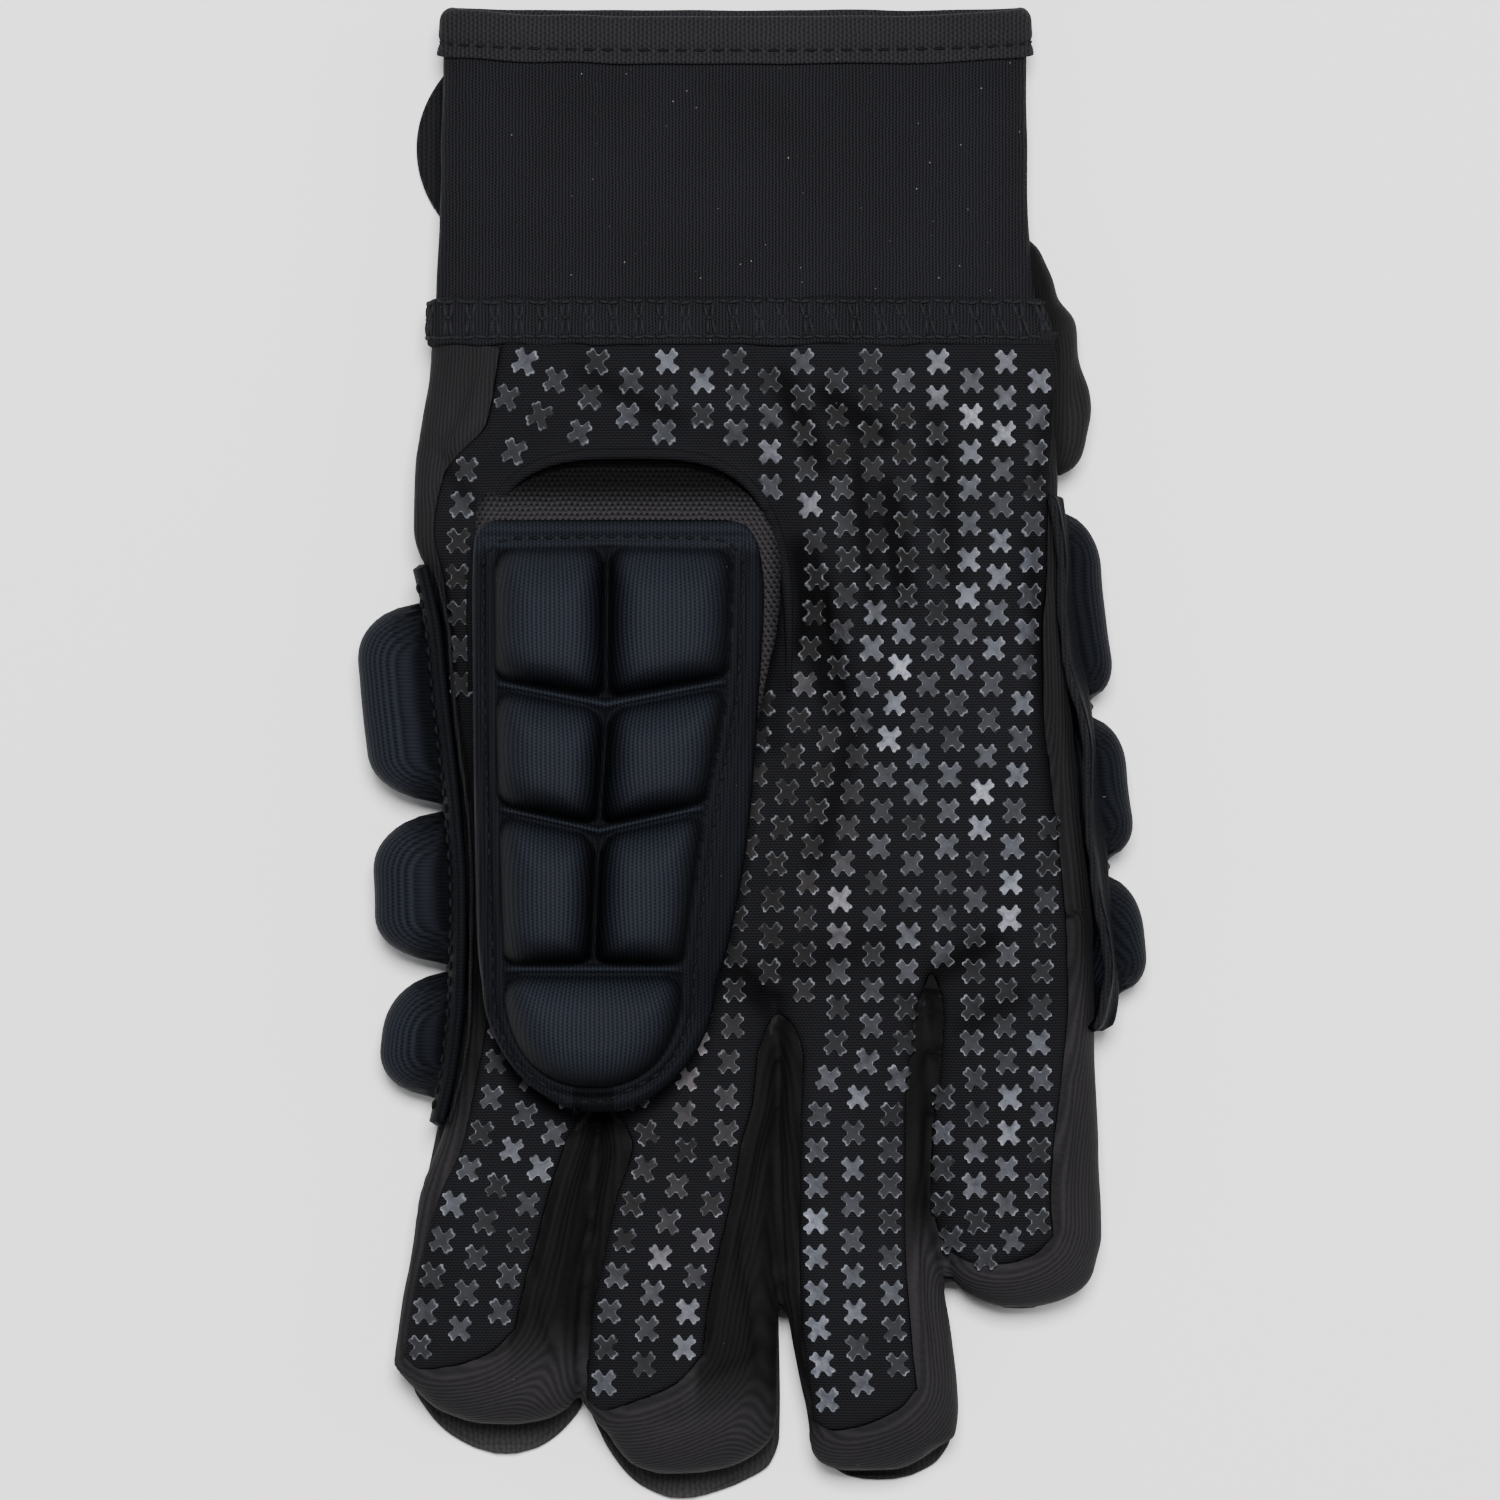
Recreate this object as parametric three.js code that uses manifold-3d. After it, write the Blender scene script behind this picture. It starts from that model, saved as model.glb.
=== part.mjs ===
// Indoor field hockey glove for a right hand, lying on its padded back with the palm up and the thumb
// folded over the palm. Millimetres. +Y runs from the fingertips to the wrist, +Z is up, and the origin
// is on the surface it lies on, under the middle of its outline.
import * as THREE from "three";
import { mergeVertices } from "three/addons/utils/BufferGeometryUtils.js";
import Module from "manifold-3d";

const wasm = await Module();
wasm.setup();

// Cloth and foam
const clothWall = 1.3; // stretch cloth with its lining
const cuffWall = 2.4; // knitted neoprene
const bindingWall = 0.9; // tape folded over the cuff's rim
const seamBandWall = 0.9; // cloth doubled under the wrist seam
const padSheet = 2.2; // laminated sheet that carries the foam blocks
const seamGap = 0.3; // space left where two pieces are sewn together

// How round the cross sections are: 2 is an ellipse and more is squarer
const handSquareness = 2.8;
const padSquareness = 5;

// Faces around a section
const palmSides = 20;
const fingerSides = 10;
const thumbSides = 12;

// Underside and top of the hand along the glove: the fingers lie lower than the padded palm
const heights = [
  { y: 123, low: 4.7, high: 24.2 },
  { y: 95, low: 3.2, high: 24.4 },
  { y: 70, low: 5.6, high: 26.2 },
  { y: 45, low: 10.4, high: 27.8 },
  { y: 0, low: 11.2, high: 28.2 },
  { y: -30, low: 11, high: 27.6 },
  { y: -45, low: 9, high: 25.2 },
  { y: -60, low: 6.9, high: 23.4 },
  { y: -75, low: 6.3, high: 22.4 },
  { y: -123, low: 6.3, high: 21.2 },
];

// Dents and folds in the palm's upper side: where, how far they reach, and how deep (a ridge is below zero)
const dents = [
  { x: 24, y: 10, reachX: 20, reachY: 34, depth: 1.6 }, // hollow of the palm
  { x: 12, y: 18, reachX: 7, reachY: 16, depth: 2.4 }, // fold at the thumb's base
  { x: 40, y: -8, reachX: 8, reachY: 26, depth: -1 }, // ridge along the little finger's side
  { x: -4, y: 58, reachX: 34, reachY: 7, depth: 1.2 }, // crease under the wrist seam
];
const rimDip = 2; // how far the cuff's upper rim falls short of its lower one, in the middle

// Palm: its two sides, and the two seams where the printed palm cloth ends
const palmRows = [
  { y: 66, left: -52.6, right: 50.2, seamLeft: -41.4, seamRight: 47 },
  { y: 54, left: -54.2, right: 49.6, seamLeft: -43.5, seamRight: 46.6 },
  { y: 46, left: -55.2, right: 49.6, seamLeft: -50, seamRight: 46.6 },
  { y: 36, left: -55.4, right: 50, seamLeft: -51.8, seamRight: 47 },
  { y: 29, left: -53, right: 50.4, seamLeft: -50, seamRight: 47.6 },
  { y: 20, left: -50.6, right: 51.4, seamLeft: -47.6, seamRight: 48.4 },
  { y: 8, left: -49.6, right: 52.8, seamLeft: -46.6, seamRight: 49.6 },
  { y: -16, left: -47, right: 55.2, seamLeft: -44, seamRight: 51 },
  { y: -32, left: -46.2, right: 56.6, seamLeft: -43.4, seamRight: 51.4 },
];
const palmEnd = { y: -40, narrower: 3, flatter: 1.6 }; // where the palm ends inside the fingers' roots

// Fingers: the two sides and the two seams of the printed strip on each, then where the strip and the tip end
const fingers = [
  {
    name: "index",
    rows: [
      { y: -26, left: -44, right: -20, seamLeft: -41.5, seamRight: -26 },
      { y: -44, left: -46.9, right: -21.5, seamLeft: -44, seamRight: -27.5 },
      { y: -60, left: -49.7, right: -26.2, seamLeft: -46.6, seamRight: -29.5 },
      { y: -71, left: -53.8, right: -26.7, seamLeft: -50.4, seamRight: -31 },
      { y: -83, left: -56, right: -27.7, seamLeft: -53, seamRight: -35.5 },
      { y: -97, left: -57.2, right: -28.4, seamLeft: -54, seamRight: -39.5 },
    ],
    strip: { leftEnd: -102.5, rightEnd: -98.5, endInset: 6 },
    tip: { y: -111, shift: 1 },
    pad: { from: -62, to: -115.6, left: -53.2, right: -27.9 },
  },
  {
    name: "middle",
    rows: [
      { y: -26, left: -25, right: 3.6, seamLeft: -21, seamRight: -0.5 },
      { y: -44, left: -25.4, right: 4.4, seamLeft: -22, seamRight: -0.8 },
      { y: -60, left: -25, right: 4, seamLeft: -22.4, seamRight: -1.4 },
      { y: -74, left: -26, right: 4.1, seamLeft: -23.4, seamRight: -3 },
      { y: -89, left: -27.4, right: 4.3, seamLeft: -24.6, seamRight: -6.3 },
      { y: -103, left: -27.2, right: 4.3, seamLeft: -24.4, seamRight: -8 },
    ],
    strip: { leftEnd: -110, rightEnd: -104.5, endInset: 3 },
    tip: { y: -120, shift: 2 },
    pad: { from: -58.5, to: -123, left: -22.4, right: 4.4 },
  },
  {
    name: "ring",
    rows: [
      { y: -26, left: 4, right: 28.6, seamLeft: 7.5, seamRight: 25 },
      { y: -40, left: 4.2, right: 29, seamLeft: 7.6, seamRight: 25.4 },
      { y: -52, left: 4.9, right: 28.6, seamLeft: 7.8, seamRight: 25.2 },
      { y: -74, left: 5.1, right: 29.1, seamLeft: 7.9, seamRight: 25 },
      { y: -90, left: 5.6, right: 32.4, seamLeft: 8.5, seamRight: 26 },
      { y: -105, left: 8, right: 34.6, seamLeft: 11, seamRight: 27.5 },
    ],
    strip: { leftEnd: -112.5, rightEnd: -106, endInset: 3 },
    tip: { y: -119.3, shift: 1 },
    pad: { from: -55, to: -120.6, left: 10, right: 32.6 },
  },
  {
    name: "little",
    rows: [
      { y: -26, left: 29, right: 56.2, seamLeft: 32, seamRight: 51.3 },
      { y: -38, left: 29, right: 56.8, seamLeft: 32, seamRight: 51.2 },
      { y: -50, left: 29.3, right: 57, seamLeft: 32.2, seamRight: 51 },
      { y: -66, left: 29.9, right: 57.7, seamLeft: 32.8, seamRight: 50.6 },
      { y: -80, left: 32, right: 58, seamLeft: 35.6, seamRight: 50.8 },
    ],
    strip: { leftEnd: -85.6, rightEnd: -83.5, endInset: 3 },
    tip: { y: -92, shift: 0 },
    pad: { from: -51, to: -92, left: 33, right: 57.4 },
  },
];
const fingerStart = -33.5; // the finger walls are sewn on from here
const fingerSplits = [-25.4, 4.5, 28.9]; // between the fingers, at their roots
const tipSteps = [0.5, 0.84, 0.99]; // shares of the tip's length, from the last row to the end
const tipSquareness = 2.4;

// Thumb: rises out of the palm at its root and lies over it, pointing the way the fingers do
const thumbRows = [
  { y: 51, middle: -20.5, half: 10, low: 17, high: 25.2 },
  { y: 46, middle: -20.5, half: 18.5, low: 17, high: 31.5 },
  { y: 39, middle: -20.5, half: 22.6, low: 18, high: 37.6 },
  { y: 30, middle: -20.2, half: 24.6, low: 20, high: 40.4 },
  { y: 20, middle: -20, half: 25, low: 24.5, high: 41.6 },
  { y: 11, middle: -20.2, half: 24.6, low: 28.9, high: 42 },
  { y: -8, middle: -21, half: 23.4, low: 28.9, high: 42 },
  { y: -26, middle: -22.6, half: 21.6, low: 28.7, high: 41.4 },
  { y: -42, middle: -23.8, half: 18.6, low: 27, high: 39.6 },
  { y: -53, middle: -24.2, half: 14, low: 25.6, high: 37.4 },
  { y: -59, middle: -24.2, half: 9.4, low: 25.6, high: 35.6 },
  { y: -62, middle: -24.2, half: 4.4, low: 27, high: 33.6 },
];

// Outline of the sheet under the thumb's foam blocks
const thumbSheetRows = [
  { y: 38, left: -36, right: -5 },
  { y: 35.4, left: -41.6, right: 0.4 },
  { y: 29, left: -43.5, right: 2.4 },
  { y: 8, left: -43.5, right: 1.9 },
  { y: -8, left: -43.6, right: 0.7 },
  { y: -25, left: -44, right: -2.1 },
  { y: -36, left: -43.8, right: -4.8 },
  { y: -46, left: -40.6, right: -8.9 },
  { y: -53, left: -36.4, right: -12.8 },
  { y: -58, left: -30.6, right: -17.6 },
];
const thumbCrown = 2.2; // how far the sheet's long edges lie under its middle line

// Foam blocks on the thumb: each row's top and bottom at the outer edge and at the middle groove
const thumbBlockRows = [
  { outerTop: 32.8, innerTop: 33.6, outerLow: 11.6, innerLow: 8.2, left: -41.4, middle: -23.7, right: -2.9 },
  { outerTop: 9.4, innerTop: 6.2, outerLow: -8.2, innerLow: -11.8, left: -41.3, middle: -24, right: -4.6 },
  { outerTop: -10.4, innerTop: -13.8, outerLow: -34, innerLow: -34, left: -41, middle: -25, right: -8.2 },
];
const thumbEndBlock = { top: -36.6, low: -55, left: -40.4, right: -10.4, endShare: 0.34 };
const thumbGroove = 1.5; // between the left and right blocks
const thumbBlockHeight = 9;

// Hand pad: the sheet goes round the back of the hand, from one side to the other
const padLeftEdge = { top: 29, low: -60 }; // where the sheet starts and ends on the index finger's side
const padRightEdge = { top: 41, low: -46 };
const padLeftSide = [
  { y: 29, x: -53.5 },
  { y: 20, x: -51.1 },
  { y: 8, x: -50.1 },
  { y: -8, x: -48.3 },
  { y: -25, x: -47 },
  { y: -41, x: -47.6 },
  { y: -60, x: -50.6 },
];
const padRightSide = [
  { y: 41, x: 50.4 },
  { y: 27, x: 51.2 },
  { y: 8, x: 53.4 },
  { y: -8, x: 55.2 },
  { y: -20, x: 56.3 },
  { y: -34, x: 57.6 },
  { y: -46, x: 58 },
];
const padClearance = 1; // from the sheet to the back of the hand
const padDepth = 20; // from the sheet's underside to where its sides would meet again above
const padLeftRim = 162; // angle round the section, in degrees, where the sheet ends over the index side
const padRightRim = 374;
const padBlockRows = [
  { leftTop: 24, leftLow: -9.4, rightTop: 39, rightLow: 7.6 },
  { leftTop: -10.4, leftLow: -35.8, rightTop: 5.6, rightLow: -18 },
  { leftTop: -36.8, leftLow: -57.6, rightTop: -20, rightLow: -40.2 },
];
const padBlockColumns = [
  { from: 0.035, to: 0.275, height: 14.6 },
  { from: 0.285, to: 0.495, height: 11 },
  { from: 0.505, to: 0.715, height: 11 },
  { from: 0.725, to: 0.955, height: 10.4 },
];

// Cuff and what is on it
const cuffRows = [
  { y: 122, left: -50.5, right: 45.8 },
  { y: 112, left: -51, right: 46.1 },
  { y: 92, left: -51.6, right: 46.2 },
  { y: 78, left: -52.2, right: 47.2 },
  { y: 66 + seamGap, left: -52.6, right: 50.2 },
];
const binding = { low: 113.6, high: 123 };
const seamBand = { low: 66.8, high: 74.4 };
const strap = { middle: 99, width: 38, endRadius: 25, from: -55.3, to: 34, thickness: 2.9 };
const wristGussetRows = [
  { y: 84, left: 43, right: 47.4, low: 9, high: 16 },
  { y: 77, left: 43, right: 51, low: 7, high: 20 },
  { y: 68, left: 44, right: 53.4, low: 7, high: 21.5 },
  { y: 58, left: 44, right: 55.2, low: 8, high: 23 },
  { y: 50, left: 44, right: 56, low: 9.5, high: 24 },
  { y: 46, left: 44, right: 54, low: 12, high: 23 },
];

const colours = {
  neoprene: new THREE.MeshStandardMaterial({ color: 0x15171a, roughness: 0.85 }),
  binding: new THREE.MeshStandardMaterial({ color: 0x19191b, roughness: 0.8 }),
  palm: new THREE.MeshStandardMaterial({ color: 0x121215, roughness: 0.75 }),
  stretch: new THREE.MeshStandardMaterial({ color: 0x1d1c1d, roughness: 0.8 }),
  mesh: new THREE.MeshStandardMaterial({ color: 0x1c1a1a, roughness: 0.9 }),
  foam: new THREE.MeshStandardMaterial({ color: 0x10141b, roughness: 0.8 }),
  strap: new THREE.MeshStandardMaterial({ color: 0x1a1a1c, roughness: 0.85 }),
};

const glove = new THREE.Group();

function addPiece(name, solid, material) {
  const shape = solid.isBufferGeometry ? solid : geometryOf(solid);
  const piece = new THREE.Mesh(shape, material);
  piece.name = name;
  glove.add(piece);
}

// Geometry of a cut or joined solid
function geometryOf(solid) {
  const mesh = solid.getMesh();
  const geometry = new THREE.BufferGeometry();
  geometry.setAttribute("position", new THREE.BufferAttribute(mesh.vertProperties, mesh.numProp));
  geometry.setIndex(new THREE.BufferAttribute(mesh.triVerts, 1));
  return geometry;
}

// A closed geometry as a solid that can be cut or joined
function solidOf(geometry) {
  const bare = new THREE.BufferGeometry();
  bare.setAttribute("position", geometry.getAttribute("position"));
  if (geometry.index) bare.setIndex(geometry.index);
  const merged = mergeVertices(bare, 1e-4);
  return new wasm.Manifold(
    new wasm.Mesh({
      numProp: 3,
      vertProperties: merged.attributes.position.array,
      triVerts: new Uint32Array(merged.index.array),
    }),
  );
}

// Joins points and triangles into a geometry whose faces point out
function closedGeometry(points, triangles) {
  const volume = triangles.reduce((sum, [a, b, c]) => {
    const cross = new THREE.Vector3().crossVectors(points[b], points[c]);
    return sum + points[a].dot(cross);
  }, 0);
  const index = volume > 0 ? triangles.flat() : triangles.flatMap(([a, b, c]) => [a, c, b]);
  const geometry = new THREE.BufferGeometry().setFromPoints(points);
  geometry.setIndex(index);
  return geometry;
}

// Solid through rings of points, closed at both ends by a fan
function loft(rings) {
  const around = rings[0].length;
  const points = rings.flat();
  const triangles = [];
  for (let ring = 0; ring < rings.length - 1; ring++) {
    for (let i = 0; i < around; i++) {
      const a = ring * around + i;
      const b = ring * around + ((i + 1) % around);
      triangles.push([a, b, a + around], [b, b + around, a + around]);
    }
  }
  for (const [ring, first] of [[rings[0], 0], [rings.at(-1), points.length - around]]) {
    const middle = points.length;
    points.push(ring.reduce((sum, p) => sum.add(p), new THREE.Vector3()).divideScalar(around));
    for (let i = 0; i < around; i++) {
      const [a, b] = [first + i, first + ((i + 1) % around)];
      triangles.push(first === 0 ? [middle, b, a] : [middle, a, b]);
    }
  }
  return closedGeometry(points, triangles);
}

// Solid between two grids of points that share their outline's order
function slab(across, along, lowerPoint, upperPoint) {
  const points = [];
  const triangles = [];
  const perGrid = (across + 1) * (along + 1);
  for (const pointAt of [lowerPoint, upperPoint]) {
    for (let j = 0; j <= along; j++) {
      for (let i = 0; i <= across; i++) points.push(pointAt(i / across, j / along));
    }
  }
  const at = (i, j) => j * (across + 1) + i;
  for (let j = 0; j < along; j++) {
    for (let i = 0; i < across; i++) {
      const [a, b, c, d] = [at(i, j), at(i + 1, j), at(i + 1, j + 1), at(i, j + 1)];
      triangles.push([a, b, c], [a, c, d]);
      triangles.push([a + perGrid, c + perGrid, b + perGrid], [a + perGrid, d + perGrid, c + perGrid]);
    }
  }
  const outline = [];
  for (let i = 0; i < across; i++) outline.push(at(i, 0));
  for (let j = 0; j < along; j++) outline.push(at(across, j));
  for (let i = across; i > 0; i--) outline.push(at(i, along));
  for (let j = along; j > 0; j--) outline.push(at(0, j));
  outline.forEach((a, i) => {
    const b = outline[(i + 1) % outline.length];
    triangles.push([a, a + perGrid, b], [b, a + perGrid, b + perGrid]);
  });
  return closedGeometry(points, triangles);
}

const lerp = THREE.MathUtils.lerp;

// Value of a table's column at y, straight between its rows
function valueAt(rows, y, column) {
  const after = rows.findIndex((row) => row.y <= y);
  if (after === 0) return rows[0][column];
  if (after < 0) return rows.at(-1)[column];
  const [a, b] = [rows[after - 1], rows[after]];
  return lerp(a[column], b[column], (a.y - y) / (a.y - b.y));
}

// Ring of points of a rounded section, drawn in by inset
function ovalRing({ y, left, right, low, high }, inset, sides, squareness = handSquareness) {
  const ring = [];
  const power = 2 / squareness;
  for (let i = 0; i < sides; i++) {
    const turn = (2 * Math.PI * i) / sides;
    const [c, s] = [Math.cos(turn), Math.sin(turn)];
    ring.push(
      new THREE.Vector3(
        (left + right) / 2 + ((right - left) / 2 - inset) * Math.sign(c) * Math.abs(c) ** power,
        y,
        (low + high) / 2 + ((high - low) / 2 - inset) * Math.sign(s) * Math.abs(s) ** power,
      ),
    );
  }
  return ring;
}

function withHeights(row) {
  return { ...row, low: valueAt(heights, row.y, "low"), high: valueAt(heights, row.y, "high") };
}

// Lowers the upper half of a ring by the dents that it runs through
function dentedRing(ring, { low, high }) {
  for (const point of ring) {
    const upper = THREE.MathUtils.clamp((2 * point.z - low - high) / (high - low), 0, 1);
    for (const { x, y, reachX, reachY, depth } of dents) {
      const away = Math.hypot((point.x - x) / reachX, (point.y - y) / reachY);
      point.z -= depth * upper * Math.exp(-(away ** 2));
    }
  }
  return ring;
}

// Palm, drawn in by inset and run on past its open end by overrun
function palmBody(inset, overrun = 0) {
  const rings = palmRows.map((row, i) => {
    const full = withHeights({ ...row, y: row.y + (i === 0 ? overrun : 0) });
    return dentedRing(ovalRing(full, inset, palmSides), full);
  });
  const last = withHeights({ ...palmRows.at(-1), y: palmEnd.y });
  rings.push(
    ovalRing(
      {
        y: palmEnd.y + inset,
        left: last.left + palmEnd.narrower,
        right: last.right - palmEnd.narrower,
        low: last.low + palmEnd.flatter,
        high: last.high - palmEnd.flatter,
      },
      inset,
      palmSides,
    ),
  );
  return solidOf(loft(rings));
}

function cuffBody(inset, from, to) {
  const inside = cuffRows.filter((row) => row.y < from - 1 && row.y > to + 1).map((row) => row.y);
  const rings = [from, ...inside, to].map((y) => {
    const sides = { left: valueAt(cuffRows, y, "left"), right: valueAt(cuffRows, y, "right") };
    const full = withHeights({ y, ...sides });
    const nearRim = THREE.MathUtils.clamp((y - seamBand.high) / (binding.low - seamBand.high), 0, 1);
    return ovalRing(full, inset, palmSides).map((point, i) => {
      const upper = Math.max(0, Math.sin((2 * Math.PI * i) / palmSides));
      return point.setY(y - rimDip * nearRim * upper);
    });
  });
  return solidOf(loft(rings));
}

// One finger with its rounded tip, drawn in by inset
function fingerBody(finger, inset) {
  const rings = finger.rows.map((row) => ovalRing(withHeights(row), inset, fingerSides));
  const last = withHeights(finger.rows.at(-1));
  const half = (last.right - last.left) / 2;
  const middle = (last.left + last.right) / 2;
  const halfHeight = (last.high - last.low) / 2;
  for (const share of tipSteps) {
    const y = lerp(last.y, finger.tip.y + inset, share);
    const size = (1 - share ** tipSquareness) ** (1 / tipSquareness);
    const centre = middle + finger.tip.shift * share;
    rings.push(
      ovalRing(
        {
          y,
          left: centre - half * size,
          right: centre + half * size,
          low: (last.low + last.high) / 2 - halfHeight * lerp(size, 1, 0.35),
          high: (last.low + last.high) / 2 + halfHeight * size,
        },
        inset * size,
        fingerSides,
      ),
    );
  }
  return solidOf(loft(rings));
}

function thumbBody(inset) {
  const last = thumbRows.length - 1;
  const rings = thumbRows.map((row, i) =>
    ovalRing(
      {
        y: row.y + (i === last ? inset : i === 0 ? -inset : 0),
        left: row.middle - row.half,
        right: row.middle + row.half,
        low: row.low,
        high: row.high,
      },
      Math.min(inset, row.half * 0.6),
      thumbSides,
    ),
  );
  return solidOf(loft(rings));
}

// Upright solid over a flat outline
function standing(outline, low, high) {
  const shape = new THREE.Shape(outline.map(([x, y]) => new THREE.Vector2(x, y)));
  const geometry = new THREE.ExtrudeGeometry(shape, { depth: high - low, bevelEnabled: false });
  return solidOf(geometry.translate(0, 0, low));
}

// Everything under, or over, a height that changes along the glove
function heightRegion(heightAt, toZ) {
  const stations = [heights[0].y + 10, ...heights.map((row) => row.y), heights.at(-1).y - 10];
  const reach = 80;
  const gridAt = (zAt) => (u, v) => {
    const y = stations[Math.round(v * (stations.length - 1))];
    return new THREE.Vector3(lerp(-reach, reach, u), y, zAt(y));
  };
  const flat = () => toZ;
  return solidOf(slab(1, stations.length - 1, gridAt(heightAt), gridAt(flat)));
}

// Outline of the printed palm cloth with its four finger strips, grown by grow
function printedRegion(grow) {
  const palmLeft = palmRows.map((row) => [row.seamLeft - grow, row.y]);
  const palmRight = palmRows.map((row) => [row.seamRight + grow, row.y]);
  palmLeft[0][1] += 5;
  palmRight[0][1] += 5;
  const palmOutline = [...palmLeft, ...palmRight.reverse()];
  const strips = fingers.map(({ rows, strip }) => {
    const last = rows.at(-1);
    return [
      ...rows.map((row) => [row.seamLeft - grow, row.y]),
      [last.seamLeft + strip.endInset - grow, strip.leftEnd - grow],
      [last.seamRight - strip.endInset / 2 + grow, strip.rightEnd - grow],
      ...rows.map((row) => [row.seamRight + grow, row.y]).reverse(),
    ];
  });
  const outlines = [palmOutline, ...strips].map((outline) => standing(outline, 5, 60));
  const upper = heightRegion(
    (y) => (valueAt(heights, y, "low") + valueAt(heights, y, "high")) / 2 - grow,
    70,
  );
  return wasm.Manifold.union(outlines).intersect(upper);
}

// Keeps a cut piece whole: crumbs under a hundredth of it fall away
function wholePiece(solid) {
  const parts = solid.decompose().sort((a, b) => b.volume() - a.volume());
  return parts[0];
}

// Hand: shells of cloth, cut where the real ones are sewn
function addHand() {
  const outside = wasm.Manifold.union([palmBody(0), ...fingers.map((f) => fingerBody(f, 0))]);
  const inside = wasm.Manifold.union([
    palmBody(clothWall, 5),
    ...fingers.map((f) => fingerBody(f, clothWall)),
  ]);
  const shell = outside.subtract(inside).subtract(thumbBody(-seamGap));

  const printed = shell.intersect(printedRegion(0));
  addPiece("palm_panel", wholePiece(printed), colours.palm);

  const plain = shell.subtract(printedRegion(seamGap));
  const backSeam = (grow) => heightRegion((y) => valueAt(heights, y, "low") + 3.4 + grow, -20);
  addPiece("back_panel", wholePiece(plain.intersect(backSeam(0))), colours.stretch);

  const walls = plain.subtract(backSeam(seamGap));
  const [farLeft, farRight, farHigh] = [-80, 80, 80];
  const aboveFingers = (left, right) => {
    const low = fingerStart + seamGap;
    return standing([[left, low], [right, low], [right, farHigh], [left, farHigh]], -10, 60);
  };
  addPiece("index_side_wall", wholePiece(walls.intersect(aboveFingers(farLeft, 0))), colours.stretch);
  addPiece("little_side_wall", wholePiece(walls.intersect(aboveFingers(0, farRight))), colours.stretch);
  fingers.forEach((finger, i) => {
    const left = i === 0 ? farLeft : fingerSplits[i - 1] + seamGap / 2;
    const right = i === fingers.length - 1 ? farRight : fingerSplits[i] - seamGap / 2;
    const root = [[left, fingerStart], [left, -60], [right, -60], [right, fingerStart]];
    const own = fingerReach(finger, i, root);
    addPiece("finger_wall_" + finger.name, wholePiece(walls.intersect(own)), colours.stretch);
  });

  const thumb = thumbBody(0).subtract(thumbBody(clothWall));
  addPiece("thumb_tube", wholePiece(thumb.subtract(palmBody(-seamGap, 5))), colours.mesh);
}

// Upright region that holds one finger and nothing of its neighbours
function fingerReach(finger, i, root) {
  const margin = 0.16;
  const reachLeft = i === 0 ? 12 : margin;
  const reachRight = i === fingers.length - 1 ? 12 : margin;
  const beyond = [-58, ...finger.rows.map((row) => row.y).filter((y) => y < -58)];
  const sideAt = (column, reach) => beyond.map((y) => [valueAt(finger.rows, y, column) + reach, y]);
  const [left, right] = [sideAt("left", -reachLeft), sideAt("right", reachRight)];
  const tipY = finger.tip.y - 3;
  const body = [...left, [left.at(-1)[0], tipY], [right.at(-1)[0], tipY], ...right.reverse()];
  return standing(root, -10, 60).add(standing(body, -10, 60));
}

function addCuff() {
  const rimEnd = cuffRows[0].y;
  const handEnd = cuffRows.at(-1).y;
  const cuff = cuffBody(0, rimEnd, handEnd).subtract(cuffBody(cuffWall, rimEnd + 5, handEnd - 5));
  addPiece("cuff", cuff, colours.neoprene);

  const wrapped = cuffBody(-seamGap, rimEnd + seamGap, handEnd - 5).subtract(
    cuffBody(cuffWall + seamGap, rimEnd + 5, handEnd - 5),
  );
  const tapeOutside = cuffBody(-seamGap - bindingWall, binding.high, binding.low);
  const tapeInside = cuffBody(cuffWall + seamGap + bindingWall, binding.high + 5, binding.low - 5);
  addPiece("cuff_binding", tapeOutside.subtract(tapeInside).subtract(wrapped), colours.binding);

  const bandOutside = cuffBody(-seamGap - seamBandWall, seamBand.high, seamBand.low);
  const cuffClear = cuffBody(-seamGap, seamBand.high + 5, seamBand.low - 5);
  addPiece("wrist_seam_band", bandOutside.subtract(cuffClear), colours.neoprene);

  const fold = (inset) =>
    solidOf(
      loft(
        wristGussetRows.map((row, i) => {
          const end = i === 0 ? -inset : i === wristGussetRows.length - 1 ? inset : 0;
          return ovalRing({ ...row, y: row.y + end }, inset, fingerSides);
        }),
      ),
    );
  const clear = wasm.Manifold.union([
    cuffBody(-2 * seamGap - seamBandWall, rimEnd, seamBand.low - seamGap),
    palmBody(-seamGap, 2),
  ]);
  addPiece("wrist_gusset", wholePiece(fold(0).subtract(fold(clothWall)).subtract(clear)), colours.stretch);
}

// Strap across the back of the cuff, with one round end that shows past the index side
function addStrap() {
  const { middle, width, endRadius, from, to, thickness } = strap;
  const half = width / 2;
  const centreX = from + endRadius;
  const swing = Math.asin(half / endRadius);
  const steps = 8;
  const outline = [];
  for (let i = 0; i <= steps; i++) {
    const turn = Math.PI - swing + (2 * swing * i) / steps;
    outline.push([centreX + endRadius * Math.cos(turn), middle + endRadius * Math.sin(turn)]);
  }
  outline.push([to, middle - half], [to, middle + half]);
  addPiece("wrist_strap", standing(outline, 0, thickness), colours.strap);
}

// Height of the thumb's crowned top, side being -1 and 1 at its edges
function thumbTop(x, y) {
  const side = (x - valueAt(thumbRows, y, "middle")) / valueAt(thumbRows, y, "half");
  return valueAt(thumbRows, y, "high") + 0.6 - thumbCrown * side ** 2;
}

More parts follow.
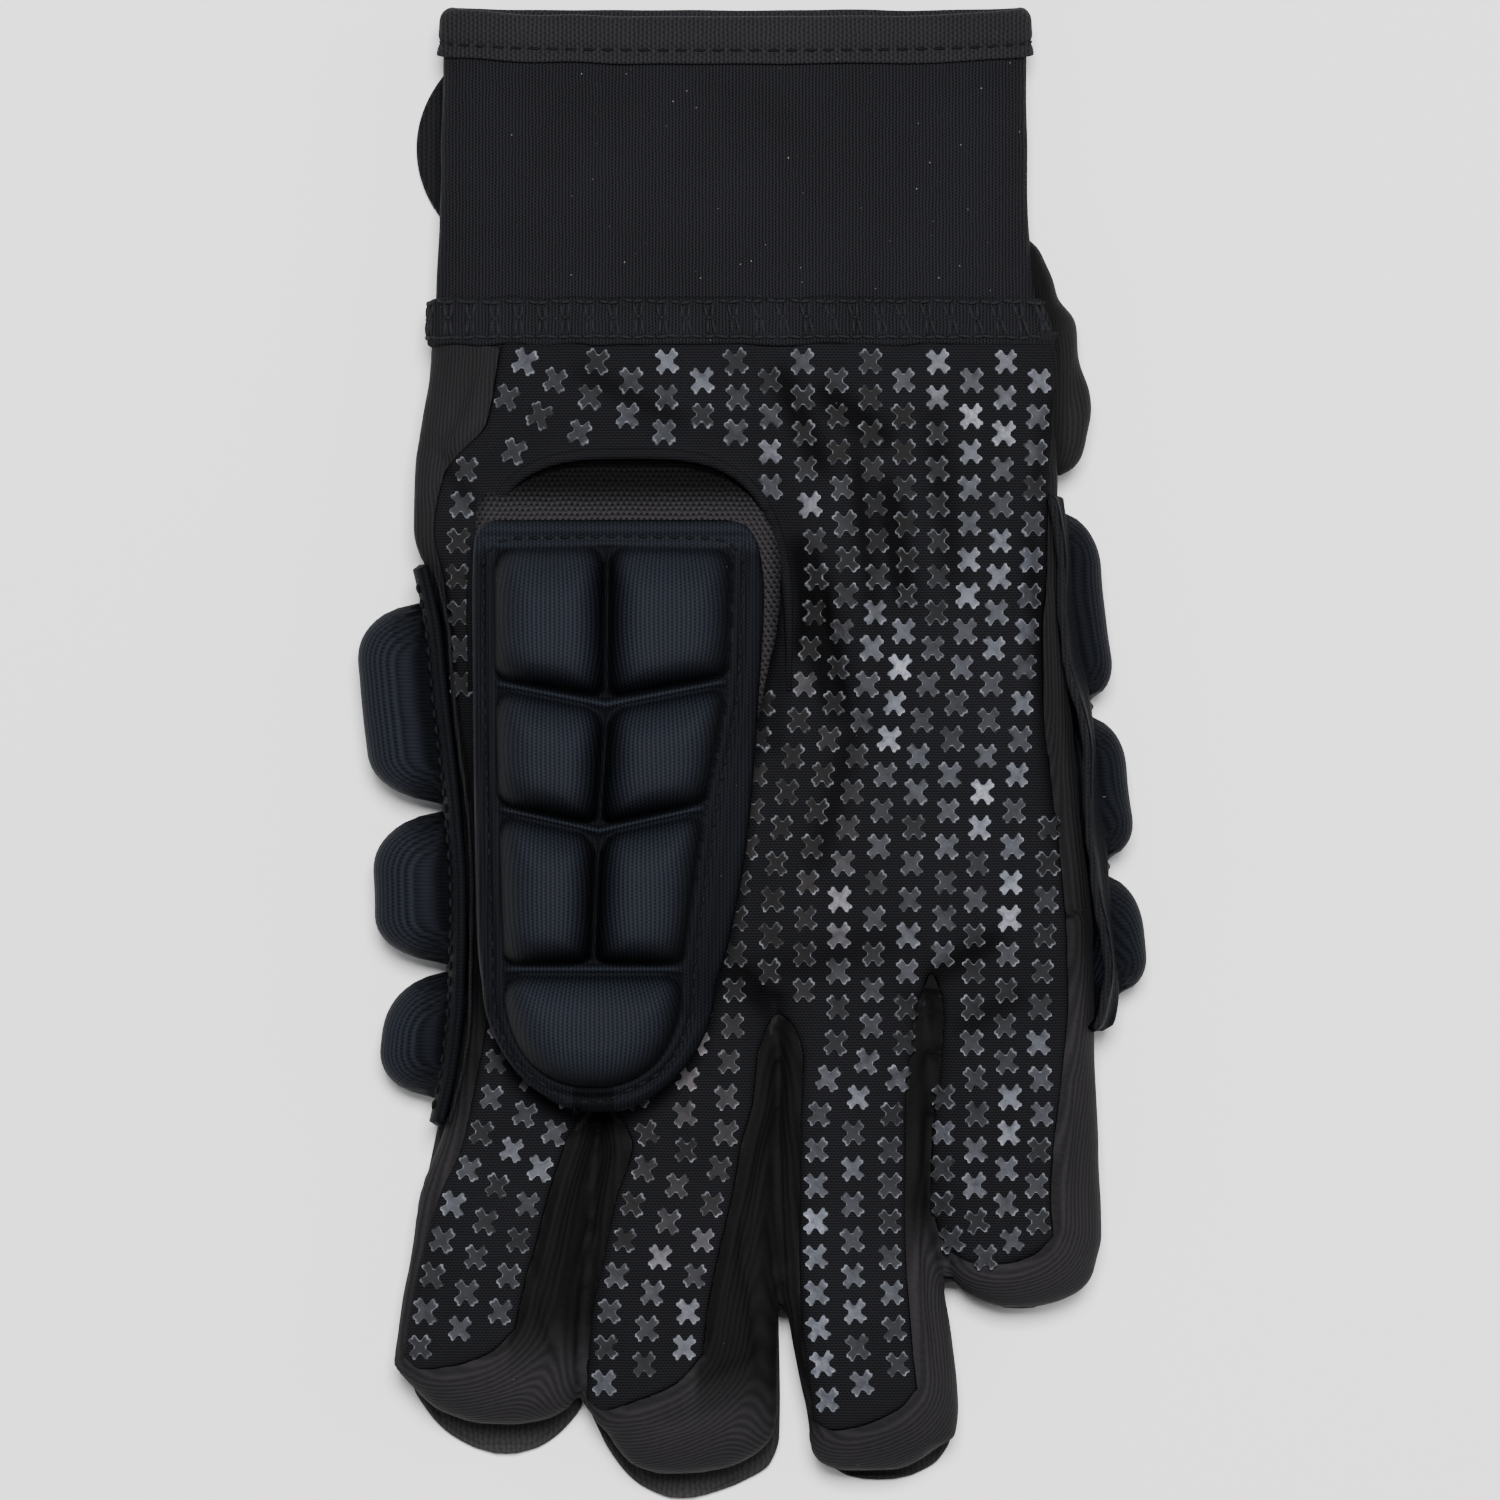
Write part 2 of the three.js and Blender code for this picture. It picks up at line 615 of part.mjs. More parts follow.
function addThumbPad() {
  const [first, last] = [thumbSheetRows[0].y, thumbSheetRows.at(-1).y];
  const sheetAt = (rise) => (u, v) => {
    const y = lerp(first, last, v < 0.12 ? v / 2 : v);
    const x = lerp(valueAt(thumbSheetRows, y, "left"), valueAt(thumbSheetRows, y, "right"), u);
    return new THREE.Vector3(x, y, thumbTop(x, y) + rise);
  };
  addPiece("thumb_pad_base", slab(6, 12, sheetAt(0), sheetAt(padSheet)), colours.foam);

  const blocks = [];
  for (const row of thumbBlockRows) {
    for (const side of ["left", "right"]) {
      const inner = row.middle + (side === "left" ? -thumbGroove / 2 : thumbGroove / 2);
      blocks.push((u, v) => {
        const toMiddle = side === "left" ? u : 1 - u;
        const x = side === "left" ? lerp(row.left, inner, u) : lerp(inner, row.right, u);
        const top = lerp(row.outerTop, row.innerTop, toMiddle);
        const low = lerp(row.outerLow, row.innerLow, toMiddle);
        return [x, lerp(top, low, v)];
      });
    }
  }
  blocks.push((u, v) => {
    const { top, low, left, right, endShare } = thumbEndBlock;
    const half = ((right - left) / 2) * Math.sqrt(1 - (1 - endShare ** 2) * v ** 2);
    return [(left + right) / 2 + half * (2 * u - 1), lerp(top, low, v)];
  });
  blocks.forEach((place, i) => {
    const at = (rise) => (u, v) => {
      const [x, y] = place(u, v);
      return new THREE.Vector3(x, y, thumbTop(x, y) + padSheet + seamGap + rise(u, v));
    };
    const cushion = slab(4, 4, at(() => 0), at((u, v) => thumbBlockHeight * domeShare(u, v)));
    addPiece("thumb_block_" + (i + 1), cushion, colours.foam);
  });
}

// Share of a foam block's height, from its edge, where it is lowest, to its middle
function domeShare(u, v) {
  const [a, b] = [Math.abs(2 * u - 1), Math.abs(2 * v - 1)];
  return lerp(0.35, 1, Math.sqrt(Math.max(0, (1 - a ** 3) * (1 - b ** 3))));
}

// Point of the pad sheet: u goes round the back of the hand, v along it, and out is measured off its inside
function padPoint(u, v, out) {
  const [yLeft, yRight] = [lerp(padLeftEdge.top, padLeftEdge.low, v), lerp(padRightEdge.top, padRightEdge.low, v)];
  const [left, right] = [valueAt(padLeftSide, yLeft, "x"), valueAt(padRightSide, yRight, "x")];
  const [half, halfDepth, power] = [(right - left) / 2, padDepth / 2, 2 / padSquareness];
  const corner = (angle) => {
    const [c, s] = [Math.cos(angle), Math.sin(angle)];
    return [half * Math.sign(c) * Math.abs(c) ** power, halfDepth * Math.sign(s) * Math.abs(s) ** power];
  };
  const angle = angleAtShare(u, corner);
  const [across, up] = corner(angle);
  const slopeX = Math.sign(across) * (Math.abs(across) / half) ** (padSquareness - 1) / half;
  const slopeZ = Math.sign(up) * (Math.abs(up) / halfDepth) ** (padSquareness - 1) / halfDepth;
  const steep = Math.hypot(slopeX, slopeZ);
  const x = (left + right) / 2 + across;
  const y = lerp(yLeft, yRight, THREE.MathUtils.clamp((x - left) / (right - left), 0, 1));
  const middle = valueAt(heights, y, "low") - padClearance + halfDepth;
  return new THREE.Vector3(x + (out * slopeX) / steep, y, middle + up + (out * slopeZ) / steep);
}

// Angle round the pad's section that lies a share of the way along it
function angleAtShare(share, corner) {
  const steps = 90;
  const angles = Array.from({ length: steps + 1 }, (_, i) =>
    THREE.MathUtils.degToRad(lerp(padLeftRim, padRightRim, i / steps)),
  );
  const lengths = [0];
  for (let i = 1; i <= steps; i++) {
    const [a, b] = [corner(angles[i - 1]), corner(angles[i])];
    lengths.push(lengths[i - 1] + Math.hypot(a[0] - b[0], a[1] - b[1]));
  }
  const wanted = share * lengths[steps];
  const i = Math.max(1, lengths.findIndex((length) => length >= wanted - 1e-9));
  return lerp(angles[i - 1], angles[i], (wanted - lengths[i - 1]) / (lengths[i] - lengths[i - 1]));
}

const aboveSurface = (point) => point.setZ(Math.max(0, point.z));

function addHandPad() {
  const sheetAt = (out) => (u, v) => padPoint(u, v, out);
  addPiece("hand_pad_base", slab(20, 8, sheetAt(0), sheetAt(padSheet)), colours.foam);
  const covered = solidOf(slab(20, 8, sheetAt(-2), sheetAt(padSheet + seamGap)));
  const shareLeft = (y) => (padLeftEdge.top - y) / (padLeftEdge.top - padLeftEdge.low);
  const shareRight = (y) => (padRightEdge.top - y) / (padRightEdge.top - padRightEdge.low);
  padBlockRows.forEach((row, r) => {
    padBlockColumns.forEach((column, c) => {
      const at = (rise) => (u, v) => {
        const across = lerp(column.from, column.to, u);
        const top = lerp(shareLeft(row.leftTop), shareRight(row.rightTop), across);
        const low = lerp(shareLeft(row.leftLow), shareRight(row.rightLow), across);
        return aboveSurface(padPoint(across, lerp(top, low, v), padSheet + rise(u, v)));
      };
      const outer = at((u, v) => column.height * domeShare(u, v));
      const flat = c === 1 || c === 2;
      const cushion = slab(4, 4, at(() => (flat ? 2 * seamGap : -0.6)), outer);
      const seated = flat ? cushion : wholePiece(solidOf(cushion).subtract(covered));
      addPiece(`hand_block_${r + 1}_${c + 1}`, seated, colours.foam);
    });
  });
}

// Foam slab along the back of each finger, rounded at the tip, flat where it lies on the surface
function addFingerPads() {
  for (const finger of fingers) {
    const { from, to, left, right } = finger.pad;
    const half = (right - left) / 2;
    const rootHalf = Math.min(half, 11);
    const at = (z, inset) => (u, v) => {
      const y = lerp(from, to, Math.sin((v * Math.PI) / 2));
      const round = Math.sqrt(Math.max(0.06, 1 - Math.max(0, (to + half - y) / half) ** 2));
      const axis = lerp(rootMiddle(finger, y), (left + right) / 2, THREE.MathUtils.smoothstep(-y, -from, -to - half));
      const reach = lerp(rootHalf, half, THREE.MathUtils.smoothstep(-y, -from, -to - half)) * round - inset;
      return new THREE.Vector3(axis + reach * (2 * u - 1), y - inset * (1 - 2 * v), z);
    };
    const pad = slab(4, 8, at(0, 1.2), at(valueAt(heights, to, "low") - seamGap, 0));
    addPiece("finger_pad_" + finger.name, pad, colours.foam);
  }
}

function rootMiddle(finger, y) {
  return (valueAt(finger.rows, y, "left") + valueAt(finger.rows, y, "right")) / 2;
}

addHand();
addCuff();
addStrap();
addThumbPad();
addHandPad();
addFingerPads();

export default glove;
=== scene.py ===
import bpy, math, random
import numpy as np
from functools import lru_cache
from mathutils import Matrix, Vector, noise
from mathutils.bvhtree import BVHTree
from mathutils.kdtree import KDTree


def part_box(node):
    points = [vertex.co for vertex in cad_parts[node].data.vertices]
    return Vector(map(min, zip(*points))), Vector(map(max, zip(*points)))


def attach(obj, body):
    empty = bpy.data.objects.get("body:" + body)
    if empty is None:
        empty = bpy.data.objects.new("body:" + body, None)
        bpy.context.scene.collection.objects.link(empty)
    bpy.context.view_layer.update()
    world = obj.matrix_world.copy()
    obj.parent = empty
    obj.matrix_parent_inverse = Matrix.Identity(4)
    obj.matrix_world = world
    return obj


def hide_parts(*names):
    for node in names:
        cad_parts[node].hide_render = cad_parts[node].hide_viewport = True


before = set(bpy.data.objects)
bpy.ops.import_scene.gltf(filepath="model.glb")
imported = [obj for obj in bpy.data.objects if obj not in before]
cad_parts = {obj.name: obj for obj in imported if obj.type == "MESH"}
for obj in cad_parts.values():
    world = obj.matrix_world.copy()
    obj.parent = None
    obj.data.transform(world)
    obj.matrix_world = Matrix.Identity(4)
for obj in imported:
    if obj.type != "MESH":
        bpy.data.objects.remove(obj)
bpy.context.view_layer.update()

# Indoor hockey glove, right hand, lying on its padded back with the thumb folded over the palm.
# Tables are in millimetres: x across the palm, y from fingertips up to the wrist, z up.
mm = 0.001
aboveAll = 80.0  # a height over the whole glove


def mix(a, b, t):
    return a + (b - a) * t


def clamp(t, low=0.0, high=1.0):
    return max(low, min(high, t))


def ease(t):
    t = clamp(t)
    return t * t * (3 - 2 * t)


def bell(t):
    return math.exp(-t * t)


def roundRise(t, squareness=2.0):  # 0 at an edge, 1 from t = 1 on, with an upright start
    return (1 - (1 - clamp(t)) ** squareness) ** (1 / squareness)


def signedPower(value, power):
    return math.copysign(abs(value) ** power, value)


def through(stops, t):  # straight lines through a list of (t, value)
    for (t0, a), (t1, b) in zip(stops, stops[1:]):
        if t <= t1:
            return mix(a, b, clamp((t - t0) / (t1 - t0)))
    return stops[-1][1]


def rowValue(rows, y, column):  # smooth curve through a table whose first column, y, falls
    if y >= rows[0][0]:
        return rows[0][column]
    if y <= rows[-1][0]:
        return rows[-1][column]
    i = 0
    while rows[i + 1][0] > y:
        i += 1
    a, b = rows[i], rows[i + 1]
    span = b[0] - a[0]
    slope = (b[column] - a[column]) / span

    def tangent(p, q, r):
        before, after = (q[column] - p[column]) / (q[0] - p[0]), (r[column] - q[column]) / (r[0] - q[0])
        return 0.0 if before * after <= 0 else 2 * before * after / (before + after)

    ta = tangent(rows[i - 1], a, b) if i > 0 else slope
    tb = tangent(a, b, rows[i + 2]) if i + 2 < len(rows) else slope
    t = (y - a[0]) / span
    return ((2 * t ** 3 - 3 * t * t + 1) * a[column] + (t ** 3 - 2 * t * t + t) * span * ta
            + (3 * t * t - 2 * t ** 3) * b[column] + (t ** 3 - t * t) * span * tb)


def wander(x, y, z=0.0, size=20.0, seed=0.0):  # slow, even noise between -1 and 1
    return noise.noise(Vector((x / size + seed, y / size - seed, z / size)))


# making and finishing meshes

def gridPiece(name, across, along, place):  # a grid whose u and v run 0..1, moved to its place
    bpy.ops.object.select_all(action="DESELECT")
    bpy.ops.mesh.primitive_grid_add(x_subdivisions=across, y_subdivisions=along, size=1, location=(0, 0, 0))
    piece = bpy.context.object
    piece.name = piece.data.name = name
    for vert in piece.data.vertices:
        vert.co = Vector(place(clamp(vert.co.x + 0.5), clamp(vert.co.y + 0.5))) * mm
    piece.data.update()
    return piece


def meshPiece(name, points, faces):
    mesh = bpy.data.meshes.new(name)
    mesh.from_pydata(points, [], faces)
    piece = bpy.data.objects.new(name, mesh)
    bpy.context.scene.collection.objects.link(piece)
    return piece


def pick(piece):
    bpy.ops.object.select_all(action="DESELECT")
    piece.select_set(True)
    bpy.context.view_layer.objects.active = piece


def editAll(piece, operator, **settings):
    pick(piece)
    bpy.ops.object.mode_set(mode="EDIT")
    bpy.ops.mesh.select_all(action="SELECT")
    operator(**settings)
    bpy.ops.object.mode_set(mode="OBJECT")


def weld(piece, distance=0.02):
    editAll(piece, bpy.ops.mesh.remove_doubles, threshold=distance * mm)
    editAll(piece, bpy.ops.mesh.normals_make_consistent, inside=False)
    return piece


def faceUp(piece, up=True):  # an open sheet's faces look up, or down for what lies underneath
    lean = sum(face.normal.z * face.area for face in piece.data.polygons)
    if (lean > 0) != up:
        editAll(piece, bpy.ops.mesh.flip_normals)


def addModifier(piece, kind, **settings):
    pick(piece)
    modifier = piece.modifiers.new(kind.lower(), kind)
    for key, value in settings.items():
        setattr(modifier, key, value)
    bpy.ops.object.modifier_apply(modifier=modifier.name)


def thicken(piece, thickness, offset=-1.0):
    addModifier(piece, "SOLIDIFY", thickness=thickness * mm, offset=offset, use_even_offset=False)


def joinPieces(name, parts):
    bpy.ops.object.select_all(action="DESELECT")
    for part in parts:
        part.select_set(True)
    bpy.context.view_layer.objects.active = parts[0]
    bpy.ops.object.join()
    parts[0].name = parts[0].data.name = name
    return parts[0]


def copyPiece(source, name):
    copy = source.copy()
    copy.data = source.data.copy()
    copy.name = copy.data.name = name
    for key in list(copy.keys()):
        if key.startswith("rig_"):
            del copy[key]
    copy.parent = None
    bpy.context.scene.collection.objects.link(copy)
    copy.hide_render = copy.hide_viewport = False
    return copy


def remesh(piece, voxel):
    pick(piece)
    piece.data.remesh_voxel_size = voxel * mm
    bpy.ops.object.voxel_remesh()


def finishPiece(piece, look, slot, *nodes, angle=180):  # shading, material, a place under the root, and the parts the piece stands for hidden
    pick(piece)
    if angle < 180:
        bpy.ops.object.shade_smooth_by_angle(angle=math.radians(angle))
    else:
        bpy.ops.object.shade_smooth()
    piece.data.materials.clear()
    piece.data.materials.append(materials[look])
    for face in piece.data.polygons:
        face.material_index = 0
    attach(piece, "root")
    if nodes:
        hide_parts(*nodes)


def spotsOf(piece):
    return [vert.co / mm for vert in piece.data.vertices]


def writeValues(piece, name, values):
    piece.data.attributes.new(name, "FLOAT", "POINT").data.foreach_set("value", values)


def writeFlow(piece, places):  # where the cloth's texture is read for each point
    flow = piece.data.attributes.new("flow", "FLOAT_VECTOR", "POINT")
    flow.data.foreach_set("vector", [part for place in places for part in place])


def surfaceOf(piece):
    return BVHTree.FromPolygons([v.co.copy() for v in piece.data.vertices],
                                [tuple(p.vertices) for p in piece.data.polygons])


def heightOn(surface, x, y, fallback=20.0):  # height and normal of a surface seen from above
    place, normal = surface.ray_cast(Vector((x, y, aboveAll)) * mm, Vector((0, 0, -1)))[:2]
    if not place:
        return fallback, Vector((0, 0, 1))
    return place.z / mm, normal if normal.z > 0 else -normal


def moveAlong(piece, amountAt):  # moves every point along its normal
    piece.data.update()
    normals = [v.normal.copy() for v in piece.data.vertices]
    for vert, normal in zip(piece.data.vertices, normals):
        vert.co += normal * amountAt(vert.co / mm, normal) * mm
    piece.data.update()


def smoothed(piece, values, rounds=12):  # each point's value, evened out with its neighbours'
    ends = np.empty(len(piece.data.edges) * 2, dtype=np.int64)
    piece.data.edges.foreach_get("vertices", ends)
    a, b = ends[::2], ends[1::2]
    values = np.array(values, dtype=float)
    count = np.bincount(ends, minlength=len(values))
    for _ in range(rounds):
        total = np.bincount(a, values[b], len(values)) + np.bincount(b, values[a], len(values))
        values = 0.5 * values + 0.5 * total / np.maximum(count, 1)
    return values


def segmentDistance(x, y, x0, y0, x1, y1):
    dx, dy = x1 - x0, y1 - y0
    t = clamp(((x - x0) * dx + (y - y0) * dy) / (dx * dx + dy * dy))
    return math.hypot(x - x0 - t * dx, y - y0 - t * dy), t


def strokeDepth(strokes, x, y):  # the creases of a table, each fading to its ends
    total = 0.0
    for x0, y0, x1, y1, width, depth in strokes:
        away, t = segmentDistance(x, y, x0, y0, x1, y1)
        if away < 3 * width:
            total += depth * bell(away / width) * (1 - (2 * t - 1) ** 4)
    return total


def foldShade(x, y):  # cloth and prints lie in shadow down the palm's creases
    darkest, deep = 0.7, 1.3
    return 1 - darkest * clamp(-strokeDepth(handShape["creases"], x, y) / deep)


def tubeAlong(name, points, radiusAt, sides=10):  # a round bead along a path, closed at its ends
    count = len(points) - 1

    def place(u, v):
        i = round(v * count)
        tangent = (points[min(i + 1, count)] - points[max(i - 1, 0)]).normalized()
        side = tangent.cross(Vector((0, 0, 1)))
        side = side.normalized() if side.length > 0.001 else Vector((1, 0, 0))
        lift = side.cross(tangent)
        turn = 2 * math.pi * u
        radius = radiusAt(v) if 0 < i < count else 0.001
        return points[i] + side * math.cos(turn) * radius + lift * math.sin(turn) * radius
    return weld(gridPiece(name, sides, count, place))


def evenRun(points, pitch):  # points at an even pitch along a path, each with the path's direction
    run, left = [], pitch / 2
    for a, b in zip(points, points[1:]):
        length = (b - a).length
        while left < length:
            run.append((a + (b - a) * (left / length), (b - a).normalized()))
            left += pitch
        left -= length
    return run


def threadModel():  # one stitch: a bead one unit long each way
    bpy.ops.object.select_all(action="DESELECT")
    bpy.ops.mesh.primitive_uv_sphere_add(segments=6, ring_count=6, radius=1, location=(0, 0, 0),
                                         rotation=(0, math.pi / 2, 0))
    bpy.ops.object.transform_apply(rotation=True)
    bead = bpy.context.object
    model = [v.co.copy() for v in bead.data.vertices], [tuple(f.vertices) for f in bead.data.polygons]
    bpy.data.objects.remove(bead, do_unlink=True)
    return model


beadPoints, beadFaces = threadModel()


def stitchPiece(name, dashes, radius, bow=0.12, look="thread"):
    # each dash has two ends and the way out of the cloth
    points, faces = [], []
    for start, end, out in dashes:
        along = (end - start).normalized()
        out = (out - along * out.dot(along)).normalized()
        side, centre, half = out.cross(along), (start + end) / 2, (end - start).length / 2
        first = len(points)
        for p in beadPoints:
            bulge = bow * (1 - p.x * p.x) - bow
            across = side * p.y * radius + out * (p.z * radius + bulge)
            points.append((centre + along * p.x * half + across) * mm)
        faces += [tuple(first + i for i in f) for f in beadFaces]
    finishPiece(meshPiece(name, points, faces), look, "thread")


# materials

printShape = {
    "pitch": 5.9, "halfWidth": 1.92, "halfLength": 2.12, "rise": 0.32, "phases": (-1.0, 1.8),
    "quarter": [(1.06, -0.26), (1.06, 0.26), (1.88, 0.92), (1.86, 1.3), (1.42, 1.5), (1.26, 1.98),
                (0.92, 2.0)],
    "rings": [(1.05, -0.15, 0.6), (0.98, 1.0, 1.0), (0.78, 0.72, 0.0)],  # size, height share, and rim, which sets the painted rim highlight and a smoother rim
    "bright": (98, 101, 112), "warm": (54, 46, 45), "paintedRimHighlight": (122, 124, 133),
    # painted shade: x, y, both reaches and how much darker the crosses are drawn there
    "paintedShadeSpots": [(3, -10, 9, 26, 0.6), (21, 40, 7, 13, 0.7), (6, 57, 12, 8, 0.6), (15, 4, 5, 16, 0.6),
                 (-1, -28, 11, 14, 0.75), (-46, -80, 12, 24, 0.5), (49, -22, 4, 14, 0.7),
                 (36, -40, 12, 6, 0.6), (10, 30, 6, 10, 0.5), (-30, 58, 14, 6, 0.35), (-47, 20, 5, 30, 0.7),
                 (32, 22, 5, 20, 0.35), (47, 8, 5, 20, 0.3), (25, -66, 3, 34, 0.6), (-15, -66, 10, 6, 0.6),
                 (50, -60, 4, 16, 0.6)],
    "warmSpots": [(-12, -44, 24, 40, 0.8), (6, -6, 12, 26, 0.9), (16, 54, 26, 14, 0.5)],
    "seed": 11, "lowest": -113, "stripsBelow": -46, "blankBelow": -42,  # y
    "places": [  # y, then the x of each of the seventeen columns
        (66, -36, -30.2, -24.7, -19.2, -13.6, -8, -2.5, 3, 8.6, 14.2, 19.8, 25.4, 31, 36.6, 42.2, 47.8, 54),
        (56, -41, -34, -26.8, -20, -13.8, -7.8, -2, 3.4, 8.8, 14.3, 19.8, 25.2, 30.8, 36.4, 41.9, 47.4, 54),
        (46, -46.6, -40, -30, -22, -15, -9, -3, 3.2, 9.2, 14.8, 20.2, 25.4, 30.8, 36.2, 41.5, 46.9, 54),
        (30, -48, -42, -34, -26, -18, -10, -2, 4, 11, 16, 21, 25.9, 31, 36, 41, 46.2, 53),
        (15, -47.5, -42, -35, -28, -21, -12, -4, 3, 9.6, 14.7, 19.8, 24.8, 29.9, 35, 40, 45.2, 51.4),
        (2, -47.4, -41.6, -35.4, -29, -23, -13, -6, 1.6, 7.6, 13, 18, 22.9, 27.9, 33.2, 39, 44.4, 49.8),
        (-12, -46.6, -41, -35.4, -29.8, -24, -13.6, -7.4, 0.2, 5.3, 10.7, 16.2, 21.5, 27, 32.5, 37.8, 43.3,
         49.2),
        (-26, -46.4, -40.6, -35.2, -30, -24.6, -13.8, -8, -2.2, 3.6, 9.2, 14.7, 20.5, 26.2, 32, 37, 42.7,
         48.7),
        (-44, -47, -41, -36, -31, -26, -14.6, -8.2, -2.8, 3, 8.7, 14.4, 20, 25.6, 31.2, 36.6, 42, 47.6),
        (-62, -50, -43.8, -38.6, -33, -27, -15.8, -10.6, -5.6, 2, 6.4, 13.4, 19, 24.6, 30.4, 35.8, 41.4,
         46.7)],
    # first column on each finger, and the shares across its strip
    "fingers": {"index": (1, (0.17, 0.5, 0.83)), "middle": (5, (0.17, 0.5, 0.83)),
                "ring": (10, (0.17, 0.5, 0.84)), "little": (13, (0.1, 0.36, 0.62, 0.87))},
}


def colourOf(r, g, b):
    def channel(c):
        c = c / 255
        return c / 12.92 if c <= 0.04045 else ((c + 0.055) / 1.055) ** 2.4
    return (channel(r), channel(g), channel(b), 1.0)


def newGroup(name, inputs, outputs):
    group = bpy.data.node_groups.new(name, "ShaderNodeTree")
    for label, kind, value in inputs:
        socket = group.interface.new_socket(label, in_out="INPUT", socket_type=kind)
        if value is not None:
            socket.default_value = value
    for label, kind in outputs:
        group.interface.new_socket(label, in_out="OUTPUT", socket_type=kind)
    return group


def addNode(tree, kind, links=(), **settings):
    node = tree.nodes.new(kind)
    for key, value in settings.items():
        setattr(node, key, value)
    for socket, source in dict(links).items():
        if isinstance(source, (int, float, tuple)):
            node.inputs[socket].default_value = source
        else:
            tree.links.new(source, node.inputs[socket])
    return node


def mathNode(tree, operation, a, b=0.0, c=0.0):
    return addNode(tree, "ShaderNodeMath", {0: a, 1: b, 2: c}, operation=operation).outputs[0]


def clampNode(tree, value):
    return addNode(tree, "ShaderNodeClamp", {0: value}).outputs[0]


def mixColours(tree, factor, a, b, blend="MIX"):
    node = tree.nodes.new("ShaderNodeMix")
    node.data_type, node.blend_type = "RGBA", blend
    for index, value in ((0, factor), (6, a), (7, b)):
        if isinstance(value, (tuple, float)):
            node.inputs[index].default_value = value
        else:
            tree.links.new(value, node.inputs[index])
    return node.outputs[2]


def buildKnit():  # rows of ribs with stitches along them, in millimetres
    group = newGroup("knitRows", [("Vector", "NodeSocketVector", None), ("Row", "NodeSocketFloat", 0.6),
                                  ("Stitch", "NodeSocketFloat", 0.8),
                                  ("Unevenness", "NodeSocketFloat", 0.3),
                                  ("Stitch Depth", "NodeSocketFloat", 0.4)],
                     [("Height", "NodeSocketFloat"), ("Shade", "NodeSocketFloat")])
    source = group.nodes.new("NodeGroupInput")
    result = group.nodes.new("NodeGroupOutput")
    parts = addNode(group, "ShaderNodeSeparateXYZ", {0: source.outputs["Vector"]})
    waver = addNode(group, "ShaderNodeTexNoise",
                    {"Vector": source.outputs["Vector"], "Scale": 0.35, "Detail": 2.0})
    shift = mathNode(group, "MULTIPLY", mathNode(group, "SUBTRACT", waver.outputs[0], 0.5),
                     source.outputs["Unevenness"])
    across = mathNode(group, "DIVIDE", mathNode(group, "ADD", parts.outputs[0], shift),
                      source.outputs["Row"])
    along = mathNode(group, "DIVIDE", parts.outputs[1], source.outputs["Stitch"])
    column = mathNode(group, "FLOOR", across)
    stagger = mathNode(group, "MULTIPLY", mathNode(group, "FLOORED_MODULO", column, 2.0), 0.5)
    ribWave = mathNode(group, "SINE", mathNode(group, "MULTIPLY", across, math.pi * 2))
    stitchWave = mathNode(group, "SINE",
                          mathNode(group, "MULTIPLY", mathNode(group, "ADD", along, stagger), math.pi * 2))
    rib = mathNode(group, "MULTIPLY_ADD", ribWave, 0.5, 0.5)
    stitch = mathNode(group, "MULTIPLY_ADD", stitchWave, 0.5, 0.5)
    height = mathNode(group, "MULTIPLY_ADD", stitch, source.outputs["Stitch Depth"],
                      mathNode(group, "MULTIPLY", rib, 0.7))
    fuzz = addNode(group, "ShaderNodeTexNoise",
                   {"Vector": source.outputs["Vector"], "Scale": 3.5, "Detail": 3.0})
    height = mathNode(group, "MULTIPLY_ADD", fuzz.outputs[0], 0.5, height)
    group.links.new(height, result.inputs["Height"])
    group.links.new(mathNode(group, "MULTIPLY", height, 0.7), result.inputs["Shade"])
    return group


def buildLint():  # sparse pale fibres and specks
    group = newGroup("lintSpecks",
                     [("Vector", "NodeSocketVector", None), ("Amount", "NodeSocketFloat", 0.5)],
                     [("Mask", "NodeSocketFloat")])
    source = group.nodes.new("NodeGroupInput")
    result = group.nodes.new("NodeGroupOutput")
    cells = addNode(group, "ShaderNodeTexVoronoi",
                    {"Vector": source.outputs["Vector"], "Scale": 0.42, "Randomness": 1.0})
    near = mathNode(group, "LESS_THAN", cells.outputs["Distance"], 0.045)
    chance = addNode(group, "ShaderNodeSeparateColor", {0: cells.outputs["Color"]})
    kept = mathNode(group, "LESS_THAN", chance.outputs[0], source.outputs["Amount"])
    faint = mathNode(group, "MULTIPLY", chance.outputs[1], 0.8)
    group.links.new(mathNode(group, "MULTIPLY", mathNode(group, "MULTIPLY", near, kept), faint),
                    result.inputs["Mask"])
    return group


def buildPatches():  # slow changes of shade, as worn and brushed cloth has
    group = newGroup("clothPatches",
                     [("Vector", "NodeSocketVector", None), ("Size", "NodeSocketFloat", 25.0)],
                     [("Shade", "NodeSocketFloat")])
    source = group.nodes.new("NodeGroupInput")
    result = group.nodes.new("NodeGroupOutput")
    scale = mathNode(group, "DIVIDE", 1.0, source.outputs["Size"])
    cloud = addNode(group, "ShaderNodeTexNoise",
                    {"Vector": source.outputs["Vector"], "Scale": scale, "Detail": 4.0})
    group.links.new(cloud.outputs[0], result.inputs["Shade"])
    return group


knitGroup = buildKnit()
lintGroup = buildLint()
patchGroup = buildPatches()
patchSize, sheenTint = 25.0, (0.6, 0.65, 0.75, 1)
metre = (1000, 1000, 1000)  # in millimetres, for textures that are read in millimetres


def groupNode(tree, group, links):
    node = tree.nodes.new("ShaderNodeGroup")
    node.node_tree = group
    for socket, source in links.items():
        if isinstance(source, (int, float)):
            node.inputs[socket].default_value = source
        else:
            tree.links.new(source, node.inputs[socket])
    return node


